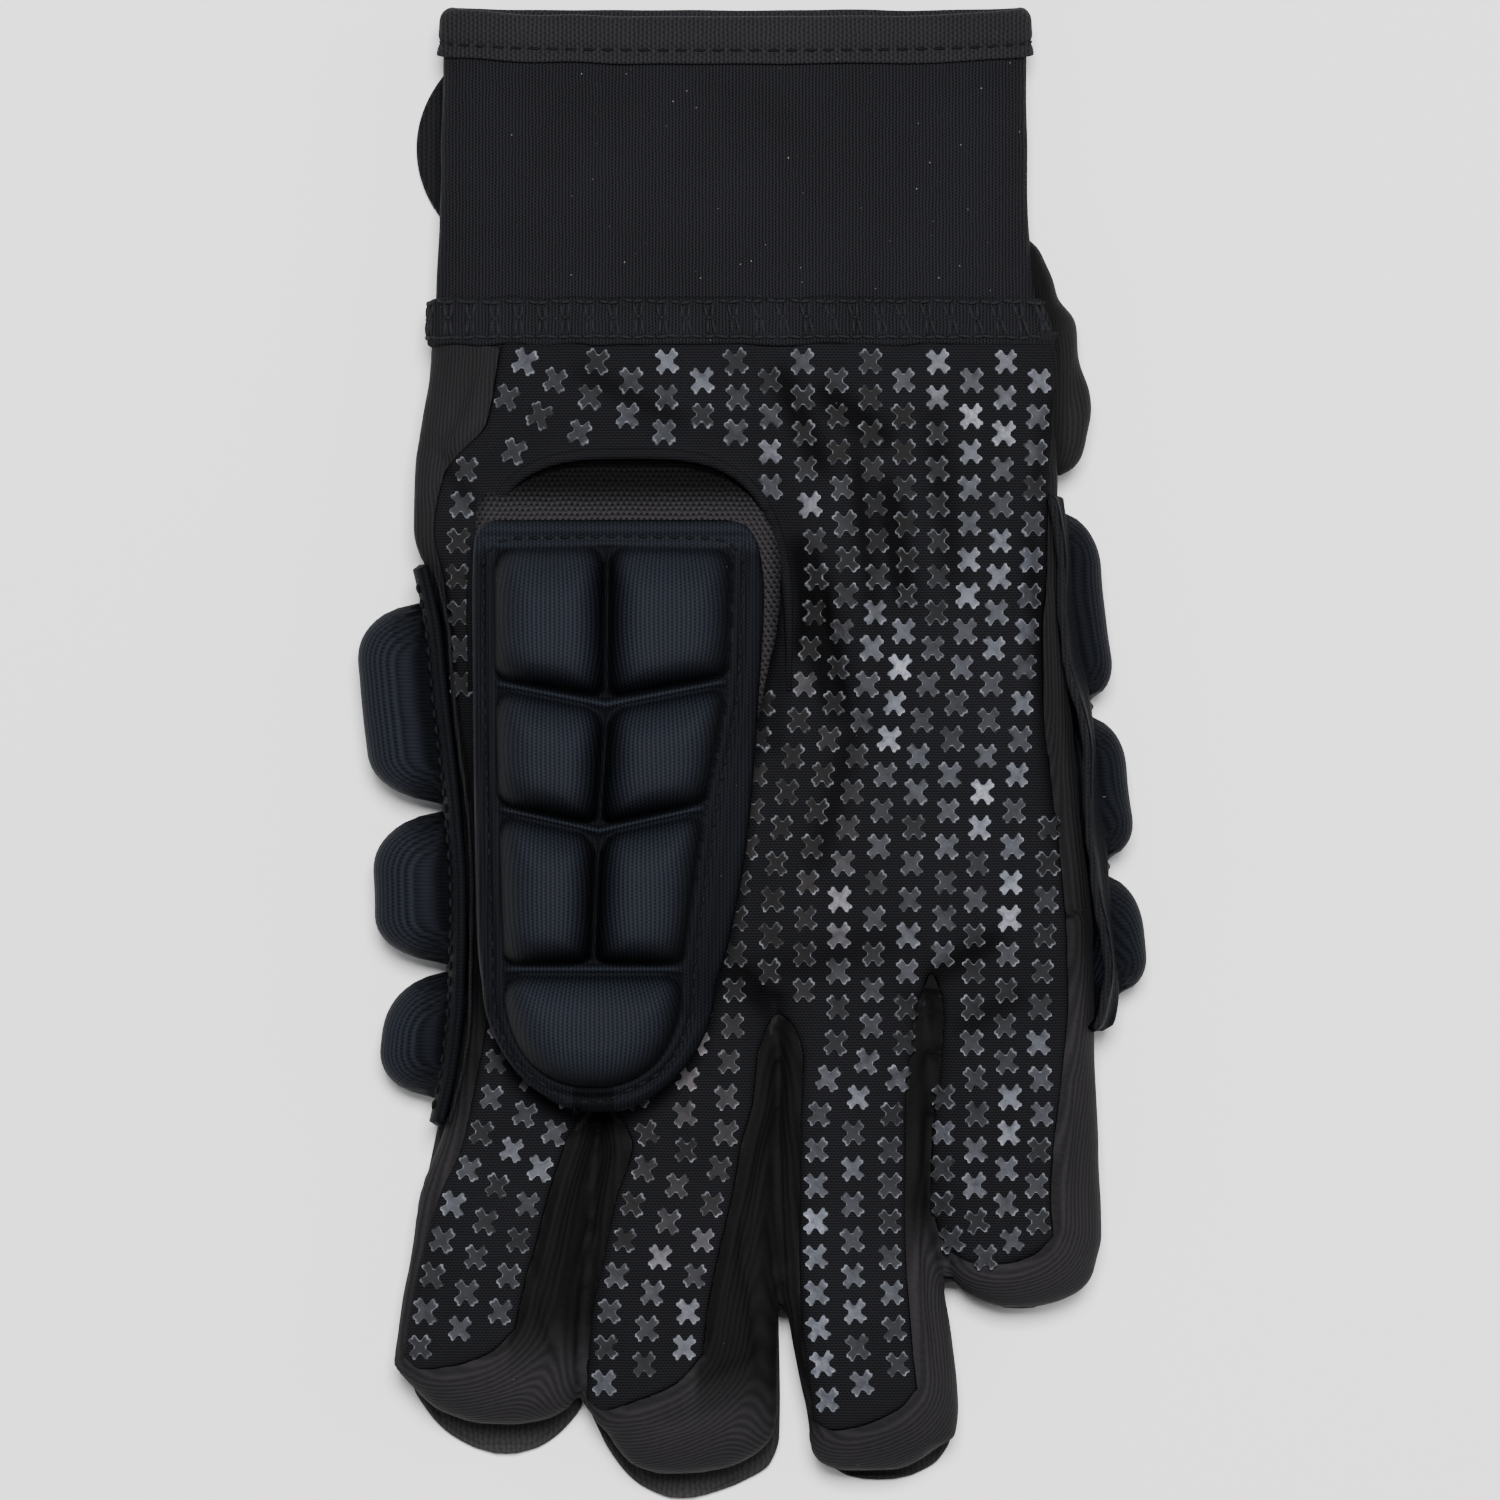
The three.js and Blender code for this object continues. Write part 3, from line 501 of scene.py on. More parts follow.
def clothMaterial(name, look):
    material = bpy.data.materials.new(name)
    material.use_nodes = True
    tree = material.node_tree
    shader = tree.nodes["Principled BSDF"]
    if look.get("flow"):
        source = addNode(tree, "ShaderNodeAttribute", attribute_name="flow").outputs["Vector"]
    else:
        source = addNode(tree, "ShaderNodeTexCoord").outputs["Object"]
        turn = math.pi / 2 if look.get("turn") else 0.0
        source = addNode(tree, "ShaderNodeMapping",
                         {0: source, "Rotation": (0, 0, turn), "Scale": metre}).outputs[0]
    knit = groupNode(tree, knitGroup, {"Vector": source, "Row": look["row"], "Stitch": look["stitch"],
                                       "Unevenness": look.get("unevenness", 0.4),
                                       "Stitch Depth": look.get("stitchDepth", 0.4)})
    patches = groupNode(tree, patchGroup, {"Vector": source, "Size": patchSize})
    lint = groupNode(tree, lintGroup, {"Vector": source, "Amount": look.get("lint", 0.1)})
    contrast = look.get("contrast", 0.8)
    shade = mathNode(tree, "MULTIPLY_ADD", knit.outputs["Shade"], contrast, 0.5 - contrast * 0.42)
    shade = mathNode(tree, "MULTIPLY", shade,
                     mathNode(tree, "MULTIPLY_ADD", patches.outputs["Shade"], 0.8, 0.6))
    # painted shade: a per-point factor darkens the cloth where less light reaches, in grooves, hollows and
    # gaps
    if look.get("open"):
        paintedShadeFactor = addNode(tree, "ShaderNodeAttribute", attribute_name="open").outputs["Fac"]
        shade = mathNode(tree, "MULTIPLY", shade, paintedShadeFactor)
    tint = mixColours(tree, clampNode(tree, shade), look["dark"], look["light"])
    dusted = mixColours(tree, lint.outputs["Mask"], tint, look.get("speck", colourOf(88, 86, 84)))
    tree.links.new(dusted, shader.inputs["Base Color"])
    rough = mathNode(tree, "MULTIPLY_ADD", patches.outputs["Shade"], 0.12, look.get("rough", 0.75) - 0.06)
    tree.links.new(rough, shader.inputs["Roughness"])
    bump = addNode(tree, "ShaderNodeBump",
                   {"Height": knit.outputs["Height"], "Strength": look.get("bump", 0.6),
                                            "Distance": look.get("depth", 0.15) * mm})
    tree.links.new(bump.outputs[0], shader.inputs["Normal"])
    shader.inputs["Specular IOR Level"].default_value = look.get("gloss", 0.18)
    shader.inputs["Sheen Weight"].default_value = look.get("sheen", 0.04)
    shader.inputs["Sheen Roughness"].default_value = 0.4
    shader.inputs["Sheen Tint"].default_value = sheenTint
    return material


looks = {
    "palmCloth": {"row": 0.46, "stitch": 0.62, "dark": colourOf(1, 1, 1), "light": colourOf(23, 23, 26),
                  "turn": True, "open": True, "contrast": 1.3, "bump": 0.6, "rough": 0.9, "sheen": 0.0,
                  "lint": 0.04, "gloss": 0.05, "unevenness": 0.15},
    "stretchCloth": {"row": 0.7, "stitch": 1.6, "dark": colourOf(3, 3, 3), "light": colourOf(40, 38, 40),
                     "bump": 0.8, "rough": 0.75, "sheen": 0.01, "flow": True, "open": True, "contrast": 0.6,
                     "stitchDepth": 0.1, "gloss": 0.05, "unevenness": 0.1},
    "meshCloth": {"row": 0.8, "stitch": 0.95, "dark": colourOf(1, 1, 1), "light": colourOf(44, 42, 44),
                  "gloss": 0.04, "open": True, "turn": True, "stitchDepth": 0.9,
                  "bump": 1.0, "depth": 0.3, "rough": 0.85, "sheen": 0.01, "contrast": 1.8,
                  "unevenness": 0.5},
    "cuffJersey": {"row": 0.55, "stitch": 0.55, "dark": colourOf(1, 1, 1), "light": colourOf(26, 26, 29),
                   "gloss": 0.04, "bump": 0.6, "rough": 0.85, "sheen": 0.01, "lint": 0.8, "contrast": 1.6,
                   "speck": colourOf(125, 124, 126)},
    "bindingTape": {"row": 0.7, "stitch": 0.9, "dark": colourOf(4, 4, 5), "light": colourOf(34, 33, 36),
                    "gloss": 0.05, "contrast": 1.1, "bump": 0.6, "rough": 0.8, "sheen": 0.01, "lint": 0.1},
    "padCloth": {"row": 0.6, "stitch": 0.6, "dark": colourOf(1, 1, 2), "light": colourOf(27, 30, 37),
                 "gloss": 0.05, "open": True, "bump": 0.5, "rough": 0.68, "sheen": 0.0, "lint": 0.12,
                 "contrast": 1.3, "flow": True, "unevenness": 0.1},
    "fingerPadCloth": {"row": 0.9, "stitch": 1.1, "dark": colourOf(20, 20, 20),
                       "light": colourOf(52, 51, 51), "stitchDepth": 0.3, "bump": 0.3, "rough": 0.9,
                       "sheen": 0.02, "contrast": 0.6, "gloss": 0.05, "unevenness": 1.5, "lint": 0.15},
    "strapCloth": {"row": 0.8, "stitch": 0.8, "dark": colourOf(4, 4, 5), "light": colourOf(27, 27, 29),
                   "bump": 0.8, "rough": 0.9, "sheen": 0.01, "gloss": 0.05},
    "thread": {"row": 0.3, "stitch": 0.3, "dark": colourOf(1, 1, 1), "light": colourOf(14, 14, 17),
               "bump": 0.3, "rough": 0.7, "sheen": 0.0, "gloss": 0.1},
    "loopThread": {"row": 0.3, "stitch": 0.3, "dark": colourOf(4, 4, 5), "light": colourOf(27, 28, 31),
                   "bump": 0.3, "rough": 0.7, "sheen": 0.0, "gloss": 0.1},
}
materials = {name: clothMaterial(name, look) for name, look in looks.items()}


def printMaterial():  # cloudy rubber; each cross's tint holds its painted light and shade, and its rim a painted highlight
    material = bpy.data.materials.new("gripPrint")
    material.use_nodes = True
    tree = material.node_tree
    shader = tree.nodes["Principled BSDF"]
    tint = addNode(tree, "ShaderNodeAttribute", attribute_name="tint").outputs["Color"]
    edge = addNode(tree, "ShaderNodeAttribute", attribute_name="edge").outputs["Fac"]
    place = addNode(tree, "ShaderNodeTexCoord").outputs["Object"]
    place = addNode(tree, "ShaderNodeMapping", {0: place, "Scale": metre}).outputs[0]
    cloud = addNode(tree, "ShaderNodeTexNoise",
                    {"Vector": place, "Scale": 0.55, "Detail": 2.5, "Roughness": 0.5})
    swing = mathNode(tree, "MULTIPLY_ADD", cloud.outputs[0], 3.6, -1.1)
    colour = mixColours(tree, clampNode(tree, swing), mixColours(tree, 0.45, tint, colourOf(6, 6, 8)), tint)
    # painted highlight: a paler colour along the rims, in patches
    patchy = clampNode(tree, mathNode(tree, "MULTIPLY_ADD", cloud.outputs[0], 3.0, -1.15))
    rim = mathNode(tree, "MULTIPLY", mathNode(tree, "POWER", edge, 2.0), patchy)
    tree.links.new(mixColours(tree, clampNode(tree, rim), colour, colourOf(*printShape["paintedRimHighlight"])),
                   shader.inputs["Base Color"])
    level = addNode(tree, "ShaderNodeSeparateColor", {0: tint}).outputs[0]
    shine = clampNode(tree, mathNode(tree, "MULTIPLY_ADD", level, 9.0,
                                     mathNode(tree, "MULTIPLY", edge, 0.35)))
    rough = mathNode(tree, "MULTIPLY_ADD", shine, -0.46, 0.95)
    tree.links.new(rough, shader.inputs["Roughness"])
    fine = addNode(tree, "ShaderNodeTexNoise", {"Vector": place, "Scale": 0.8, "Detail": 1.5})
    bump = addNode(tree, "ShaderNodeBump",
                   {"Height": fine.outputs[0], "Strength": 0.7, "Distance": 0.5 * mm})
    tree.links.new(bump.outputs[0], shader.inputs["Normal"])
    shader.inputs["Specular IOR Level"].default_value = 0.4
    return material


materials["gripPrint"] = printMaterial()
print("materials:", len(materials))

# hand: one stretch-cloth sleeve, with the printed palm sewn over it

handShape = {
    "squareness": 2.8,
    # y, underside and top
    "heights": [(123, 4.7, 24.2), (95, 3.2, 24.4), (70, 5.6, 26.2), (45, 10.4, 27.8), (0, 11.2, 28.2),
                (-30, 11, 27.6), (-45, 9, 25.2), (-60, 6.9, 23.4), (-75, 6.3, 22.4), (-123, 6.3, 21.2)],
    # y, left and right
    "palm": [(74, -52.2, 50), (66, -52.6, 51.6), (54, -54.2, 51), (46, -55.2, 50.8), (36, -55.4, 50.8),
             (29, -53, 50.8), (20, -50.6, 51.4), (8, -49.6, 52.8), (-16, -47, 55.2), (-32, -46.2, 56.6),
             (-40, -44.5, 54.8)],
    "palmSeams": [(66, -41.4, 50.6), (54, -43.5, 50.2), (46, -50.4, 49.8), (36, -52.4, 49.4),
                  (29, -51, 49.2), (20, -49.5, 48.4), (8, -48.6, 48.6), (-4, -47, 49.8), (-16, -45.4, 51.2),
                  (-32, -43.4, 52.4), (-45, -44, 52.6)],
    # the sides run to the very tip, the strip is the printed cloth, and its end is given by share across
    "fingers": {
        "index": {"shoulder": -98,
                  "sides": [(-26, -44, -20), (-44, -46.9, -21.5), (-60, -49.7, -25.6), (-71, -53.8, -26.2),
                            (-83, -56, -27), (-97, -58.4, -28.3), (-101, -58.9, -28.3),
                            (-104, -56.6, -28.4), (-107.5, -53.6, -29.4), (-110, -49.6, -32.2),
                            (-111.6, -45, -38)],
                  "strip": [(-26, -41.5, -24.6), (-44, -43.6, -26.8), (-60, -46.6, -29), (-66, -48, -30.6),
                            (-73, -51.3, -33), (-81, -54, -35), (-90.6, -56.3, -37.6),
                            (-99.5, -57.6, -39.4)],
                  "end": [(0, -99.8), (0.17, -102.4), (0.45, -101.8), (0.8, -99.6), (1, -95.4)]},
        "middle": {"shoulder": -104,
                   "sides": [(-26, -25, 3.6), (-44, -25.2, 4.4), (-60, -24.6, 4.2), (-74, -25.6, 4.2),
                             (-89, -27.2, 4.4), (-103, -27.8, 4.5), (-107, -27.9, 4.5), (-110, -26, 4.4),
                             (-113, -23.8, 4), (-116, -21.6, 1.6), (-118.4, -19, -2.4), (-119.8, -15, -8)],
                   "strip": [(-26, -24.2, 4), (-44, -22, 2), (-58, -20.6, 0.8), (-65, -19.6, -1.2),
                             (-74, -22.4, -2.8), (-83, -24.4, -5), (-94, -26.6, -7.1), (-107, -27.4, -8.2)],
                   "end": [(0, -107), (0.16, -109.2), (0.42, -107.7), (0.8, -104.4), (1, -99.6)]},
        "ring": {"shoulder": -104,
                 "sides": [(-26, 4, 28.6), (-40, 4.2, 29), (-52, 4.9, 29.4), (-74, 5.1, 30),
                           (-87, 5.6, 31.8), (-100, 7.4, 33.8), (-110, 9.4, 34.6), (-113.5, 9.9, 34.2),
                           (-115.7, 10.2, 30.8), (-117.6, 11.6, 28), (-119.2, 15, 25)],
                 "strip": [(-26, 4.4, 28.4), (-40, 6.4, 28), (-48, 8.6, 27), (-61, 8.1, 25.9),
                           (-81, 7.8, 25.9), (-94, 8.1, 26.6), (-108, 9.8, 28)],
                 "end": [(0, -110.6), (0.2, -112.5), (0.4, -112), (0.8, -109), (1, -105.4)]},
        "little": {"shoulder": -78,
                   "sides": [(-26, 29, 56.2), (-38, 29, 56.8), (-50, 29.3, 57), (-66, 29.2, 57.7),
                             (-80, 31.4, 58.1), (-84, 32.6, 57.4), (-87, 33.4, 56.6), (-89.4, 35.2, 54.6),
                             (-91.2, 38.6, 51.2), (-92.2, 42, 47.5)],
                   "strip": [(-26, 29.6, 52), (-38, 31.8, 52.8), (-54, 30.9, 51.6), (-65, 29.8, 50.3),
                             (-74, 29.8, 49.7), (-83, 32.2, 50.6)],
                   "end": [(0, -82.4), (0.25, -84.8), (0.5, -85), (0.8, -83.3), (1, -80.2)]},
    },
    "crotches": [-57.5, -43.5, -37],  # y where the printed strips part
    # x, y, both reaches and depth
    "dents": [(24, 10, 20, 34, 1.2), (40, -8, 8, 26, -1), (-4, 58, 34, 7, 1.2), (8, 14, 5, 20, 4.0),
              (2, -24, 6, 22, 1.6)],
    "creases": [  # x and y of both ends, width and depth
        (8, 36, 15, 4, 2.4, -2.8), (14, 34, 21, 2, 3.0, 1.3), (12, 28, 7, 14, 1.1, -1.6),
        (22, 46, 26, 22, 2.2, -1.6), (17, 53, 21, 16, 1.7, -1.2), (10, 60, 24, 50, 2.4, -1.5),
        (4, 64, 13, 44, 2.0, -1.5), (30, 58, 34, 24, 2.2, -1.0), (-30, 63, -10, 54, 1.8, -0.9),
        (18, 8, 10, -22, 2.2, -1.1), (46, 40, 52, -20, 2.0, -1.3), (50, 60, 47, 40, 1.6, -0.9),
        (28, -39, 42, -30, 2.0, -1.5), (33, -47, 46, -40, 1.8, -0.9), (4.8, -45, -4, -34, 1.8, -1.2),
        (-22, -44, 30, -30, 3.4, -0.7), (-2, -74, 2.4, -104, 1.2, -0.9), (3, -60, -2, -88, 1.1, -0.8),
        (-36, -84, -31, -102, 1.2, -0.9), (-31, -70, -34, -90, 1.0, 0.5),
        (27.5, -70, 31, -104, 1.2, -0.8), (53.5, -52, 54.5, -80, 1.2, -0.7),
        (6.4, -60, 8, -98, 0.9, -0.6), (-54, 52, -44, 38, 1.4, -0.7), (-46, 62, -53, 44, 1.6, -0.6),
        (-10, -106, 3, -100, 1.3, -0.6), (-16, -112, 0, -107, 1.4, -0.5), (40, -86, 55, -80, 1.3, -0.5),
    ],
    "palmCells": (110, 110), "fingerCells": (56, 90), "smoothing": 4,
    "voxel": 1.1, "wall": 1.0, "cut": 69,  # the sleeve ends at this y, inside the cuff
}
fingerNames = list(handShape["fingers"])

# the edge of the printed palm arches over the root of the thumb
archShape = {"x": -19.8, "y": 14, "half": 26.2, "tall": 34.6, "power": 3.2, "lift": 5.2, "reach": 6.0,
             "dive": 5.0, "steps": 120, "hem": 0.95}


@lru_cache(maxsize=None)
def handHeights(y):
    return rowValue(handShape["heights"], y, 1), rowValue(handShape["heights"], y, 2)


def roundedAway(shape, dx, dy):  # distance out from a rounded outline, negative inside
    power = shape["power"]
    size = ((abs(dx) / shape["half"]) ** power + (dy / shape["tall"]) ** power) ** (1 / power)
    return (1 - 1 / max(size, 0.05)) * math.hypot(dx, dy)


def archAway(x, y):  # negative over the thumb
    return roundedAway(archShape, x - archShape["x"], max(0.0, y - archShape["y"]))


def archLift(x, y):
    a = archShape
    away = archAway(x, y)
    lift = a["lift"] * ease((y - 6) / 22)
    lift *= mix(0.3, 1.0, ease((x + 48) / 16)) * mix(1.0, 0.75, ease((x - 2) / 4))
    if away >= 0:
        return lift * bell(away / a["reach"])
    return lift * (1 - ease(-away / 2.5)) - a["dive"] * ease(-away / 4)


def ovalPoint(u, y, left, right, low, high, squareness):
    turn = 2 * math.pi * u
    c, s = math.cos(turn), math.sin(turn)
    power = 2 / squareness
    return ((left + right) / 2 + (right - left) / 2 * signedPower(c, power), y,
            (low + high) / 2 + (high - low) / 2 * signedPower(s, power))


def palmPoint(u, v):
    rows = handShape["palm"]
    y = mix(rows[0][0], rows[-1][0], clamp((v - 0.01) / 0.98))
    left, right = rowValue(rows, y, 1), rowValue(rows, y, 2)
    low, high = handHeights(round(y, 4))
    if v < 0.005 or v > 0.995:  # flat ends
        return ((left + right) / 2, y, (low + high) / 2)
    x, y, z = ovalPoint(u, y, left, right, low, high, handShape["squareness"])
    upper = clamp((2 * z - low - high) / (high - low))
    for px, py, reachX, reachY, depth in handShape["dents"]:
        z -= depth * upper * bell(math.hypot((x - px) / reachX, (y - py) / reachY))
    return (x, y, z)


def fingerPoint(finger):
    rows = finger["sides"]

    def place(u, v):
        first, last = rows[0][0], rows[-1][0]
        y = mix(first, last, mix(v, math.sin(v * math.pi / 2), 0.55))
        left, right = rowValue(rows, y, 1), rowValue(rows, y, 2)
        low, high = handHeights(round(y, 4))
        share = clamp((finger["shoulder"] - y) / (finger["shoulder"] - last))
        size = (1 - share ** 2.5) ** (1 / 2.5)
        if v < 0.001:
            return ((left + right) / 2, y, (low + high) / 2)
        middle, tall = (low + high) / 2, (high - low) / 2 * size
        return ovalPoint(u, y, left, right, middle - tall, middle + tall,
                         mix(2.0, handShape["squareness"], size))
    return place


def buildHand():
    parts = [weld(gridPiece("palmTube", *handShape["palmCells"], palmPoint))]
    for name, finger in handShape["fingers"].items():
        tube = gridPiece("fingerTube_" + name, *handShape["fingerCells"], fingerPoint(finger))
        parts.append(weld(tube, 0.05))
    form = joinPieces("handForm", parts)
    remesh(form, handShape["voxel"])
    addModifier(form, "SMOOTH", factor=0.5, iterations=handShape["smoothing"])
    writeValues(form, "level", [v.co.z / mm for v in form.data.vertices])

    def fold(p, normal):
        lift = strokeDepth(handShape["creases"], p.x, p.y) if normal.z > -0.15 else 0.0
        lift += 0.3 * wander(p.x, p.y, p.z, 14) + 0.14 * wander(p.x, p.y, p.z, 5, 7)
        if p.z > 18 and p.y > 0:
            lift += min(0.0, archLift(p.x, p.y)) * ease((p.z - 18) / 5)
        return lift
    moveAlong(form, fold)
    return form


handForm = buildHand()
handSurface = surfaceOf(handForm)
print("hand form:", len(handForm.data.vertices), "points")


# Printed palm: a sheet of columns that follows the seams and splits into the four finger strips

panelShape = {"top": 67, "split": -62, "lowest": -112, "rows": 210, "stripColumns": 24, "lift": 0.4,
              "sink": 0.6, "roll": 1.9, "thick": 0.7}


def stripSides(y):  # left and right of each strip at y, running together above each crotch
    seams = handShape["palmSeams"]
    palmLeft, palmRight = rowValue(seams, y, 1), rowValue(seams, y, 2)
    blend = ease((y + 34) / 90)
    sides = []
    for i, name in enumerate(fingerNames):
        strip = handShape["fingers"][name]["strip"]
        here = max(strip[-1][0], min(strip[0][0], y))
        left, right = rowValue(strip, here, 1), rowValue(strip, here, 2)
        spread = (mix(palmLeft, palmRight, i / 4), mix(palmLeft, palmRight, (i + 1) / 4))
        sides.append([mix(left, spread[0], blend), mix(right, spread[1], blend)])
    if y > -45:
        edge = ease((y + 45) / 12)
        sides[0][0] = mix(sides[0][0], palmLeft, edge)
        sides[3][1] = mix(sides[3][1], palmRight, edge)
    for i, crotch in enumerate(handShape["crotches"]):
        centre = (sides[i][1] + sides[i + 1][0]) / 2
        opened = math.sqrt(clamp((crotch - y) / 7))
        sides[i][1] = mix(centre, sides[i][1], opened)
        sides[i + 1][0] = mix(centre, sides[i + 1][0], opened)
    return sides


sidesAt = lru_cache(maxsize=None)(stripSides)


def endOf(finger, t):
    return rowValue([(-a, b) for a, b in finger["end"]], -t, 1)


def panelSpot(strip, t, v):  # place on the panel, and the distance to its nearest border
    finger = handShape["fingers"][fingerNames[strip]]
    share = (panelShape["top"] - panelShape["split"]) / (panelShape["top"] - panelShape["lowest"])
    if v <= share:
        y = mix(panelShape["top"], panelShape["split"], v / share)
        end = 99.0
    else:
        bottom = endOf(finger, t)
        y = mix(panelShape["split"], bottom, (v - share) / (1 - share))
        end = y - bottom
    left, right = sidesAt(round(y, 3))[strip]
    x = mix(left, right, t)
    border = end
    if strip == 0 or y < handShape["crotches"][strip - 1]:
        border = min(border, x - left)
    if strip == 3 or y < handShape["crotches"][strip]:
        border = min(border, right - x)
    return x, y, max(0.0, border)


def buildPanel():
    columns = panelShape["stripColumns"]
    total = columns * 4 + 3

    def place(u, v):
        column = round(u * total)
        strip = min(3, column // (columns + 1))
        t = (column - strip * (columns + 1)) / columns
        t = mix(t, 0.5 - 0.5 * math.cos(math.pi * t), 0.45)  # closer together beside the seams
        v = mix(v, math.sin(v * math.pi / 2), 0.35)
        x, y, border = panelSpot(strip, t, v)
        z, normal = heightOn(handSurface, x, y)
        lift = mix(-panelShape["sink"], panelShape["lift"], roundRise(border / panelShape["roll"]))
        raised = max(0.0, archLift(x, y))
        return (x + normal.x * lift, y + normal.y * lift, z + normal.z * lift + raised)

    panel = gridPiece("palmPanel", total, panelShape["rows"], place)
    perRow = total + 1
    drop = []
    for face in panel.data.polygons:
        columnsHere = sorted({i % perRow for i in face.vertices})
        if any(columnsHere == [k * (columns + 1) + columns, (k + 1) * (columns + 1)] for k in range(3)):
            xs = [panel.data.vertices[i].co.x for i in face.vertices]
            if max(xs) - min(xs) > 0.05 * mm:
                drop.append(face.index)
    editAll(panel, bpy.ops.mesh.select_all, action="DESELECT")
    for index in drop:
        panel.data.polygons[index].select = True
    pick(panel)
    bpy.ops.object.mode_set(mode="EDIT")
    bpy.ops.mesh.select_mode(type="FACE")
    bpy.ops.mesh.delete(type="ONLY_FACE")
    bpy.ops.object.mode_set(mode="OBJECT")
    weld(panel, 0.06)
    faceUp(panel)
    return panel


palmPanel = buildPanel()
panelSurface = surfaceOf(palmPanel)
print("palm panel:", len(palmPanel.data.polygons), "faces")


def borderPoints():
    points = []
    for strip in range(4):
        for i in range(401):
            for t in (0.0, 1.0):
                x, y, border = panelSpot(strip, t, i / 400)
                if border < 0.01:
                    points.append((x, y))
        points += [panelSpot(strip, i / 40, 1.0)[:2] for i in range(41)]
    return points


borders = borderPoints()
borderTree = KDTree(len(borders))
for i, (x, y) in enumerate(borders):
    borderTree.insert((x, y, 0), i)
borderTree.balance()


ribShape = {"left": -43.5, "right": 50, "straightFrom": -12, "drop": 0.55, "level": 24, "slant": 0.3,
            "rounds": 30}


def sleevePaintedShade(x, y):  # painted shade: darker between two fingers and along the edges of the palm, where less light reaches
    shade = 1.0
    sides = sidesAt(round(y, 1))
    for i in range(3):
        if y < handShape["crotches"][i] + 1 and sides[i][1] - 0.6 < x < sides[i + 1][0] + 0.6:
            ends = [handShape["fingers"][fingerNames[k]]["sides"][-1][0] for k in (i, i + 1)]
            shade = 1 - 0.75 * ease((y - max(ends) - 7) / 12)
    if y > -42 and x > 0:
        shade *= mix(0.6, 1.0, ease((y + 30) / -14))
    elif y > -42:
        shade *= mix(0.35, 0.8, ease((y - 22) / 16))
    elif x < -30:
        shade *= mix(1.0, 0.35, ease((y + 70) / 20))
    return shade


def buildSleeve():
    sleeve = copyPiece(handForm, "handSleeve")

    def settle(p, normal):
        if normal.z < 0.1:
            return 0.0
        away = borderTree.find((p.x, p.y, 0))[2]
        if heightOn(panelSurface, p.x, p.y, None)[0] is not None:  # sinks under the printed palm
            return -1.1 * ease(0.35 + away / 2)
        return -0.8 * bell(away / 0.9) + 0.3 * bell((away - 2.2) / 1.2)
    moveAlong(sleeve, settle)

    level = sleeve.data.attributes["level"].data
    spots, ribs = spotsOf(sleeve), ribShape
    fall = []
    # ribs run beside the seam of the printed cloth, all round the tips, but straight at the wrist
    for i, p in enumerate(spots):
        straight = ribs["left"] - p.x if p.x < 0 else p.x - ribs["right"]
        away = mix(borderTree.find((p.x, p.y, 0))[2], straight, ease((p.y - ribs["straightFrom"]) / 20))
        fall.append(away + (ribs["level"] - level[i].value) * ribs["drop"])
    fall = smoothed(sleeve, fall, ribs["rounds"])
    writeFlow(sleeve, [(across, p.y + p.x * ribs["slant"], p.z) for across, p in zip(fall, spots)])
    writeValues(sleeve, "open", [sleevePaintedShade(p.x, p.y) for p in spots])
    editAll(sleeve, bpy.ops.mesh.bisect, plane_co=(0, handShape["cut"] * mm, 0), plane_no=(0, 1, 0),
            clear_outer=True, use_fill=False)
    thicken(sleeve, handShape["wall"])
    finishPiece(sleeve, "stretchCloth", "stretch_cloth", "back_panel", "index_side_wall",
                "little_side_wall", *["finger_wall_" + name for name in fingerNames])
    return sleeve


handSleeve = buildSleeve()
print("sleeve:", len(handSleeve.data.polygons), "faces")


def buildHem():  # rolled edge of the palm cloth over the thumb
    a = archShape
    points = []
    for i in range(a["steps"] + 1):
        turn = math.pi * mix(1.02, -0.02, i / a["steps"])
        c, s = math.cos(turn), math.sin(turn)
        x = a["x"] + a["half"] * signedPower(c, 2 / a["power"])
        y = a["y"] + a["tall"] * abs(s) ** (2 / a["power"]) - (6 if s < 0 else 0)
        z = heightOn(panelSurface, x, y)[0]
        points.append(Vector((x, y, z + 0.15 + 0.25 * wander(x, y, 0, 6, 3))))
    hem = tubeAlong("thumbArchHem", points, lambda v: a["hem"] * roundRise(min(v, 1 - v) / 0.12))
    writeValues(hem, "open", [1.0] * len(hem.data.vertices))
    finishPiece(hem, "palmCloth", "palm_cloth")


def weltRadius(v):
    return 0.8 * roundRise(min(v, 1 - v) / 0.15) * (1 + 0.1 * math.sin(v * 60))


def buildWelts():  # rolled seam round the top of each gap between two fingers
    for i, crotch in enumerate(handShape["crotches"]):
        rows = [crotch - 0.25 - 12 * (k / 24) ** 2 for k in range(24, -1, -1)]
        spots = [(sidesAt(round(y, 3))[i][1] + 0.2, y) for y in rows]
        spots += [(sidesAt(round(y, 3))[i + 1][0] - 0.2, y) for y in reversed(rows)]
        points = []
        for x, y in spots:
            z = heightOn(panelSurface, x, y - 0.1)[0]
            points.append(Vector((x, y, z + 0.1 + 0.2 * wander(x, y, 0, 3, 4))))
        welt = tubeAlong("crotchWelt_%d" % i, points, weltRadius)
        writeFlow(welt, spotsOf(welt))
        # painted shade, a little darker in the gaps between the fingers
        writeValues(welt, "open", [0.85] * len(welt.data.vertices))
        finishPiece(welt, "stretchCloth", "stretch_cloth")


buildHem()
buildWelts()

# grip prints: small rubber crosses in columns that follow the fingers up over the palm

def crossOutline():
    outline = []
    for quarter in range(4):
        c, s = math.cos(quarter * math.pi / 2), math.sin(quarter * math.pi / 2)
        outline += [(x * c - y * s, x * s + y * c) for x, y in printShape["quarter"]]
    return [(x / 2 * printShape["halfWidth"], y / 2 * printShape["halfLength"]) for x, y in outline]


